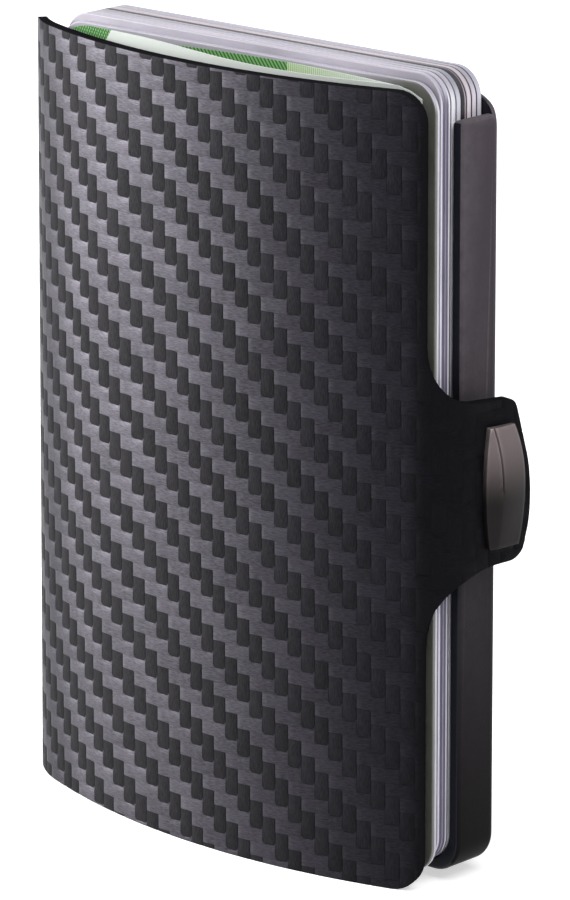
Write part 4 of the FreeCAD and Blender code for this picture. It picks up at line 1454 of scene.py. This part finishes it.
@dataclass
class ClaspBadge:
    """Barrel-shaped plate on the tab: a crescent facet, a fine groove and a broad facet."""

    datum: Datum
    plan: LeatherPlan
    start: float = 1.0 * MM
    wide: float = 5.4 * MM
    low: float = 35.425 * MM
    tall: float = 13.15 * MM
    front_bow: float = 0.50 * MM
    upper_bow: float = 1.5 * MM
    lower_bow: float = 0.8 * MM
    ridge_top: float = 0.25 * MM
    ridge_middle: float = 1.75 * MM
    ridge_low: float = 0.95 * MM
    front_rise: float = 0.62 * MM
    ridge_rise: float = 1.2 * MM
    ridge_fall: float = 0.7
    rear_rise: float = 0.50 * MM
    groove_wide: float = 0.17 * MM
    groove_deep: float = 0.30 * MM
    groove_end: float = 0.44
    groove_fade: float = 0.06
    seat: float = -0.10 * MM
    edge_round: float = 0.14 * MM
    steps: int = 26

    def edges(self, share: float) -> tuple[float, float, float]:
        """Find the front edge, the ridge and the rear edge along the tab.

        Args:
            share: 0 to 1 up the plate.

        Returns:
            Their distances along the tab from its bend.
        """
        across = 2 * share - 1
        front = self.start + self.front_bow * across * across
        bow = self.upper_bow if across > 0 else self.lower_bow
        rear = self.start + self.wide - bow * across * across
        reach = self.ridge_top if across > 0 else self.ridge_low
        ridge = front + self.ridge_middle + (reach - self.ridge_middle) * across * across
        return front, ridge, rear

    def rise(self, along: float, share: float) -> float:
        """Find the height over the leather.

        Args:
            along: distance along the tab from its bend.
            share: 0 to 1 up the plate.

        Returns:
            The height, in metres.
        """
        front, ridge, rear = self.edges(share)
        crest = self.front_rise + (self.ridge_rise - self.front_rise) * (
            1 - self.ridge_fall * (2 * share - 1) ** 2)
        if along <= ridge:
            part = (along - front) / max(ridge - front, 1e-6)
            return self.front_rise + (crest - self.front_rise) * min(part, 1.0)
        part = (along - ridge) / (rear - ridge)
        high = crest + (self.rear_rise - crest) * part ** 1.5
        near = abs(along - ridge - self.groove_wide) / self.groove_wide
        if share > self.groove_end and near < 1:
            fade = min((share - self.groove_end) / self.groove_fade, 1.0)
            high -= self.groove_deep * (1 - near) * fade
        return high

    def build(self, finish: bpy.types.Material) -> bpy.types.Object:
        """Shape the plate's top, drop its rim onto the tab and soften it.

        Args:
            finish: the plate's metal.

        Returns:
            The finished plate, riding on the tab.
        """
        piece = Workbench.blank("clasp_plate", 0.0, 3.0, 0.0, 1.0)
        bpy.ops.object.mode_set(mode="EDIT")
        marks = [0.25, 0.5, 0.75, 1.0, 1.5, 2.0]
        marks += [2 + step / 8 for step in range(1, 8)]
        Workbench.slice(marks, (1, 0, 0), lambda mark: (mark, 0, 0))
        Workbench.slice([step / self.steps for step in range(1, self.steps)], (0, 0, 1),
                        lambda share: (0, 0, share))
        form = bmesh.from_edit_mesh(piece.data)
        for vertex in form.verts:
            mark, share = vertex.co.x, vertex.co.z
            front, ridge, rear = self.edges(share)
            if mark <= 1:
                along = front + (ridge - front) * mark
            elif mark <= 2:
                along = ridge + 2 * self.groove_wide * (mark - 1)
            else:
                edge = ridge + 2 * self.groove_wide
                along = edge + (rear - edge) * (mark - 2)
            vertex.co = (along, -self.rise(along, share), self.low + self.tall * share)
        bmesh.update_edit_mesh(piece.data)
        bpy.ops.mesh.select_mode(type="EDGE")
        bpy.ops.mesh.select_all(action="DESELECT")
        bpy.ops.mesh.select_non_manifold()
        bpy.ops.mesh.extrude_region_move(TRANSFORM_OT_translate={"value": (0, MM, 0)})
        form = bmesh.from_edit_mesh(piece.data)
        for vertex in form.verts:
            if vertex.select:
                vertex.co.y = -self.seat
        bmesh.update_edit_mesh(piece.data)
        bpy.ops.mesh.edge_face_add()
        bpy.ops.mesh.select_all(action="SELECT")
        bpy.ops.mesh.normals_make_consistent(inside=False)
        bpy.ops.object.mode_set(mode="OBJECT")
        Workbench.modify(piece, "BEVEL", width=self.edge_round, segments=3,
                         limit_method="ANGLE", angle_limit=math.radians(55))
        for vertex in piece.data.vertices:
            along, depth, height = vertex.co
            flat = self.plan.point(self.plan.bend_end - along, depth)
            vertex.co = self.datum.place(flat.x, flat.y, height)
        Workbench.take(piece)
        bpy.ops.object.mode_set(mode="EDIT")
        bpy.ops.mesh.select_all(action="SELECT")
        bpy.ops.mesh.normals_make_consistent(inside=False)
        bpy.ops.object.mode_set(mode="OBJECT")
        Workbench.smooth(piece, 22)
        piece.data.materials.append(finish)
        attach(piece, "tab")
        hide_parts("clasp_badge")
        return piece


@dataclass
class FoldedNote:
    """A note folded once: its front leaf follows the cover, its rear leaf the cards."""

    datum: Datum
    plan: LeatherPlan
    depth: float = 1.925 * MM
    right: float = 1.3 * MM
    inset: float = 5.38 * MM
    skew: float = 0.084
    skew_from: float = 54.0 * MM
    rear_y: float = -8.0 * MM
    rear_right: float = 4.8 * MM
    low: float = 3.0 * MM
    front_top: float = 84.6 * MM
    crest: float = 0.86 * MM
    crest_x: float = -37.0 * MM
    crest_spread: float = 13.0 * MM
    rear_top: float = 84.65 * MM
    rear_fall: float = 0.45 * MM
    rear_crest_x: float = -20.0 * MM
    rear_spread: float = 18.0 * MM
    tip: float = 3.4 * MM
    tip_fall: float = 1.3 * MM
    fold_tip: float = 4.0 * MM
    fold_fall: float = 0.63 * MM
    fold_bulge: float = 0.6
    thickness: float = 0.11 * MM
    leaf_steps: int = 40
    fold_steps: int = 12

    def place(self, mark: float, height: float) -> tuple[float, float]:
        """Plan place of a mark on the sheet at a height.

        Args:
            mark: 0 to 1 over the front leaf, to 2 round the fold, to 3 over the rear leaf.
            height: height above the cards' underside.

        Returns:
            X and Y from the datum, on the sheet's middle.
        """
        left = self.inset - self.datum.width - self.skew * (height - self.skew_from)
        if mark <= 1:
            x = -self.right + (left + self.right) * mark
            return x, self.front_y(x)
        front = self.front_y(left)
        if mark >= 2:
            return left + (-self.rear_right - left) * (mark - 2), self.rear_y
        turn = math.pi * (mark - 1)
        half = (self.rear_y - front) / 2
        return left - self.fold_bulge * half * math.sin(turn), front + half * (1 - math.cos(turn))

    def front_y(self, x: float) -> float:
        """Y of the front leaf's middle at a place across the wallet."""
        _, radius, centre, _, _ = self.plan.stretch(self.plan.cover_end / 2)
        return centre.y - math.sqrt((radius - self.depth) ** 2 - (x - centre.x) ** 2)

    def top(self, mark: float, x: float) -> float:
        """Find the height of the sheet's top edge.

        Args:
            mark: 0 to 1 over the front leaf, to 2 round the fold, to 3 over the rear leaf.
            x: place across the wallet.

        Returns:
            The height above the cards' underside.
        """
        crest = self.crest * math.exp(-((x - self.crest_x) / self.crest_spread) ** 2)
        front = self.front_top + crest
        short = max(1 - (-self.right - x) / self.tip, 0.0)
        front -= self.tip_fall * short * short
        left, _ = self.place(1.0, self.front_top)
        short = min(max(1 - (x - left) / self.fold_tip, 0.0), 1.0)
        front -= self.fold_fall * short * short
        rear = self.rear_top - self.rear_fall * ((x - self.rear_crest_x) / self.rear_spread) ** 2
        share = min(max(mark - 1, 0.0), 1.0)
        return front + (rear - front) * share

    def build(self, finish: bpy.types.Material) -> bpy.types.Object:
        """Lay out the sheet flat, fold it on its way and give it its thickness.

        Args:
            finish: the printed paper.

        Returns:
            The finished note.
        """
        piece = Workbench.blank("folded_note", -3.0, 0.0, 0.0, 1.0)
        bpy.ops.object.mode_set(mode="EDIT")
        marks = [step / self.leaf_steps for step in range(1, self.leaf_steps)]
        marks += [1 + step / self.fold_steps for step in range(self.fold_steps + 1)]
        marks += [2 + step / self.leaf_steps for step in range(1, self.leaf_steps)]
        Workbench.slice(marks, (1, 0, 0), lambda mark: (-mark, 0, 0))
        Workbench.slice([step / 24 for step in range(1, 24)], (0, 0, 1),
                        lambda share: (0, 0, share))
        bpy.ops.object.mode_set(mode="OBJECT")
        mesh = piece.data
        layout = mesh.uv_layers.new(name="print")
        prints = []
        for vertex in mesh.vertices:
            mark, share = -vertex.co.x, vertex.co.z
            x, _ = self.place(mark, self.front_top)
            height = self.low + (self.top(mark, x) - self.low) * share
            x, y = self.place(mark, height)
            prints.append((-x / 0.1 + (1.0 if mark > 1.5 else 0.0), height / 0.1))
            vertex.co = self.datum.place(x, y, height)
        for loop in mesh.loops:
            layout.data[loop.index].uv = prints[loop.vertex_index]
        Workbench.modify(piece, "SOLIDIFY", thickness=self.thickness, offset=0, use_rim=True)
        Workbench.smooth(piece, 50)
        mesh.materials.append(finish)
        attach(piece, "banknote")
        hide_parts("banknote")
        return piece


# --------------------------------------------------------------------------
# Stage, light and camera
# --------------------------------------------------------------------------
@dataclass
class Studio:
    """Pale floor, soft lamps, white surroundings and the camera."""

    camera_place: Point = (0.398207, -0.425524, 0.204252)
    azimuth: float = math.radians(42.707)
    elevation: float = math.radians(15.488)
    roll: float = math.radians(-0.144)
    lens: float = 224.485
    sensor: float = 36.0
    floor_half: float = 3.0
    floor_colour: Point = (0.86, 0.86, 0.87)
    floor_lift: float = 0.55
    soft_world: float = 0.32
    aim: Point = (0.0, 0.0, 0.04)

    def build(self) -> None:
        """Set up the whole stage."""
        self.floor()
        self.world()
        self.lamps()
        self.camera()
        bpy.context.scene.view_settings.view_transform = "Standard"

    def floor(self) -> None:
        """Lay a wide pale floor under the wallet."""
        Workbench.clear()
        bpy.ops.mesh.primitive_plane_add(size=2 * self.floor_half)
        floor = bpy.context.object
        floor.name = "studio_floor"
        material, w, shader = new_material("studio_floor", Roughness=0.9,
                                           Specular_IOR_Level=0.1)
        shader.inputs["Base Color"].default_value = (*self.floor_colour, 1)
        output = [node for node in w.tree.nodes if node.type == "OUTPUT_MATERIAL"][0]
        lift = w.node("Emission")
        w.link(w.math("MULTIPLY", self.seen(w), self.floor_lift), lift.inputs["Strength"])
        both = w.node("AddShader")
        w.link(shader.outputs[0], both.inputs[0])
        w.link(lift.outputs[0], both.inputs[1])
        w.link(both.outputs[0], output.inputs["Surface"])
        floor.data.materials.append(material)

    def world(self) -> None:
        """Surroundings that are white to the eye and to reflections, softer as light."""
        world = bpy.data.worlds.new("studio")
        world.use_nodes = True
        bpy.context.scene.world = world
        w = Wiring(world.node_tree)
        back = w.node("Background")
        back.inputs["Color"].default_value = (1, 1, 1, 1)
        w.link(w.blend(self.seen(w), self.soft_world, 1.0), back.inputs["Strength"])
        output = w.node("OutputWorld")
        w.link(back.outputs[0], output.inputs["Surface"])

    @staticmethod
    def seen(w: Wiring) -> bpy.types.NodeSocket:
        """One where the eye, a reflection or a refraction meets the surface, else nothing.

        Args:
            w: wiring of the floor or the world.

        Returns:
            The share's output.
        """
        path = w.node("LightPath")
        seen = w.math("MAXIMUM", path.outputs["Is Camera Ray"], path.outputs["Is Glossy Ray"])
        return w.math("MAXIMUM", seen, path.outputs["Is Transmission Ray"])

    def lamps(self) -> None:
        """A tall softbox at the left, a soft light overhead and a small one at the upper right."""
        self.lamp("left_softbox", azimuth=-66, elevation=14, distance=0.9,
                  size=(0.16, 0.9), power=14.0)
        self.lamp("overhead", azimuth=20, elevation=72, distance=1.1,
                  size=(0.9, 0.9), power=3.6)
        self.lamp("right_softbox", azimuth=84, elevation=48, distance=0.30,
                  size=(0.16, 0.16), power=0.42)

    def lamp(self, name: str, azimuth: float, elevation: float, distance: float,
             size: tuple[float, float], power: float) -> None:
        """Hang one rectangular lamp that faces the wallet.

        Args:
            name: the lamp's name.
            azimuth: its direction from the front, in degrees, positive to the right.
            elevation: its height angle, in degrees.
            distance: how far it is from the wallet's middle.
            size: its width and height.
            power: watts.
        """
        data = bpy.data.lights.new(name, "AREA")
        data.shape, data.size, data.size_y = "RECTANGLE", *size
        data.energy = power
        lamp = bpy.data.objects.new(name, data)
        bpy.context.scene.collection.objects.link(lamp)
        turn, lift = math.radians(azimuth), math.radians(elevation)
        away = Vector((math.sin(turn) * math.cos(lift), -math.cos(turn) * math.cos(lift),
                       math.sin(lift)))
        lamp.location = Vector(self.aim) + away * distance
        lamp.rotation_euler = away.to_track_quat("Z", "Y").to_euler()

    def camera(self) -> None:
        """Place the camera at its viewing angle."""
        data = bpy.data.cameras.new("camera")
        data.lens, data.sensor_width = self.lens, self.sensor
        data.clip_start, data.clip_end = 0.05, 20.0
        camera = bpy.data.objects.new("camera", data)
        bpy.context.scene.collection.objects.link(camera)
        sin_a, cos_a = math.sin(self.azimuth), math.cos(self.azimuth)
        sin_e, cos_e = math.sin(self.elevation), math.cos(self.elevation)
        back = Vector((sin_a * cos_e, -cos_a * cos_e, sin_e))
        right = Vector((cos_a, sin_a, 0))
        up = back.cross(right)
        turned = right * math.cos(self.roll) + up * math.sin(self.roll)
        upright = up * math.cos(self.roll) - right * math.sin(self.roll)
        camera.matrix_world = Matrix((
            (turned.x, upright.x, back.x, self.camera_place[0]),
            (turned.y, upright.y, back.y, self.camera_place[1]),
            (turned.z, upright.z, back.z, self.camera_place[2]),
            (0, 0, 0, 1)))
        bpy.context.scene.camera = camera


# --------------------------------------------------------------------------
# The wallet
# --------------------------------------------------------------------------
class Finish(Enum):
    """The plain finishes of the wallet's pieces."""

    # Painted light: the tray's value runs from dark at the floor to bright at the top.
    TRAY = GrainedFinish("tray_plastic", (0.036, 0.030, 0.035), (0.016, 0.0135, 0.016), 0.50,
                         grain_scale=7000.0, grain_depth=0.04 * MM, grain_strength=0.8,
                         wear=0.5, worn=(0.09, 0.082, 0.09), shine=0.05,
                         painted_light_low=0.0, painted_light_high=86 * MM, painted_low_value=0.12, painted_high_value=2.40)
    # A painted-shade copy of the tray plastic, for its front faces and the faces round the cards.
    TRAY_INSIDE = GrainedFinish("tray_shaded", (0.006, 0.007, 0.012), (0.004, 0.005, 0.008),
                                0.35, wear=0.2, worn=(0.02, 0.02, 0.025), shine=0.18)
    LINING = GrainedFinish("leather_lining", (0.020, 0.020, 0.023), (0.013, 0.013, 0.015), 0.6,
                           grain_scale=2500.0, grain_depth=0.05 * MM, wear=0.2,
                           worn=(0.05, 0.05, 0.055))
    EDGE = GrainedFinish("painted_edge", (0.0100, 0.0096, 0.0116), (0.0066, 0.0064, 0.0078),
                         0.55, grain_scale=1800.0, grain_depth=0.05 * MM, wear=0.3,
                         worn=(0.020, 0.019, 0.022), shine=0.0)
    CORE = GrainedFinish("core_plastic", (0.040, 0.040, 0.044), (0.030, 0.030, 0.033), 0.5)
    STEEL = GrainedFinish("spring_steel", (0.36, 0.36, 0.38), (0.26, 0.26, 0.28), 0.34,
                          metallic=1.0, grain_scale=5000.0, grain_depth=0.01 * MM,
                          worn=(0.50, 0.50, 0.52))
    NICKEL = GrainedFinish("magnet_nickel", (0.66, 0.64, 0.60), (0.58, 0.56, 0.53), 0.16,
                           metallic=1.0, grain_depth=0.005 * MM, worn=(0.8, 0.78, 0.74))
    # Painted light: the plate's value runs from dark at its foot to bright at its top.
    CLASP = GrainedFinish("clasp_metal", (0.066, 0.053, 0.053), (0.030, 0.025, 0.027), 0.42,
                          metallic=0.6, grain_scale=6000.0, grain_depth=0.02 * MM,
                          grain_strength=0.6, wear=0.8, worn=(0.15, 0.13, 0.125), shine=0.2,
                          painted_light_low=42.1 * MM, painted_light_high=50.6 * MM, painted_low_value=0.18,
                          painted_high_value=3.2)
    FILM = GrainedFinish("bond_film", (0.62, 0.62, 0.58), (0.54, 0.54, 0.50), 0.6)


PLAIN_NODES = {
    "keeper_plate": Finish.STEEL, "edge_spring_lower": Finish.STEEL,
    "edge_spring_upper": Finish.STEEL, "spine_core": Finish.CORE, "bond_film": Finish.FILM,
    "clasp_base": Finish.CLASP, "clasp_magnets": Finish.NICKEL, "clasp_rivets": Finish.STEEL,
    "note_clip": Finish.STEEL,
}


def dress_nodes(nodes: dict[str, bpy.types.Object],
                made: dict[Finish, bpy.types.Material]) -> None:
    """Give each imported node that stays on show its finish.

    Args:
        nodes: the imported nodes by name.
        made: the materials by finish.
    """
    for name, finish in PLAIN_NODES.items():
        node = nodes[name]
        node.data.materials.clear()
        node.data.materials.append(made[finish])


def main() -> None:
    """Build the wallet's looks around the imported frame."""
    logging.basicConfig(level=logging.INFO, format="%(name)s: %(message)s")
    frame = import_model()
    nodes = frame["nodes"]
    Workbench.clear()
    datum = Datum.from_frame()
    plan = LeatherPlan(card_width=datum.width)
    weave = TwillWeave()
    effects = Effects(weave)
    made = {finish: finish.value.make(effects) for finish in Finish}
    finishes = (WovenLeather().make(effects, weave), made[Finish.LINING], made[Finish.EDGE])
    for maker in (CoverWithTab(datum, plan, weave, finishes),
                  BackWithSpine(datum, plan, weave, finishes)):
        piece = maker.build()
        log.info("%s: %d faces", piece.name, len(piece.data.polygons))
    pieces = [CardTray().build(nodes, datum, made[Finish.TRAY], made[Finish.TRAY_INSIDE])]
    pieces += CardStack().build(nodes, effects)
    pieces.append(ClaspBadge(datum, plan).build(made[Finish.CLASP]))
    pieces.append(FoldedNote(datum, plan).build(NotePaper().make(effects)))
    for piece in pieces:
        log.info("%s: %d faces", piece.name, len(piece.data.polygons))
    dress_nodes(nodes, made)
    Studio().build()


if __name__ == "__main__":
    main()
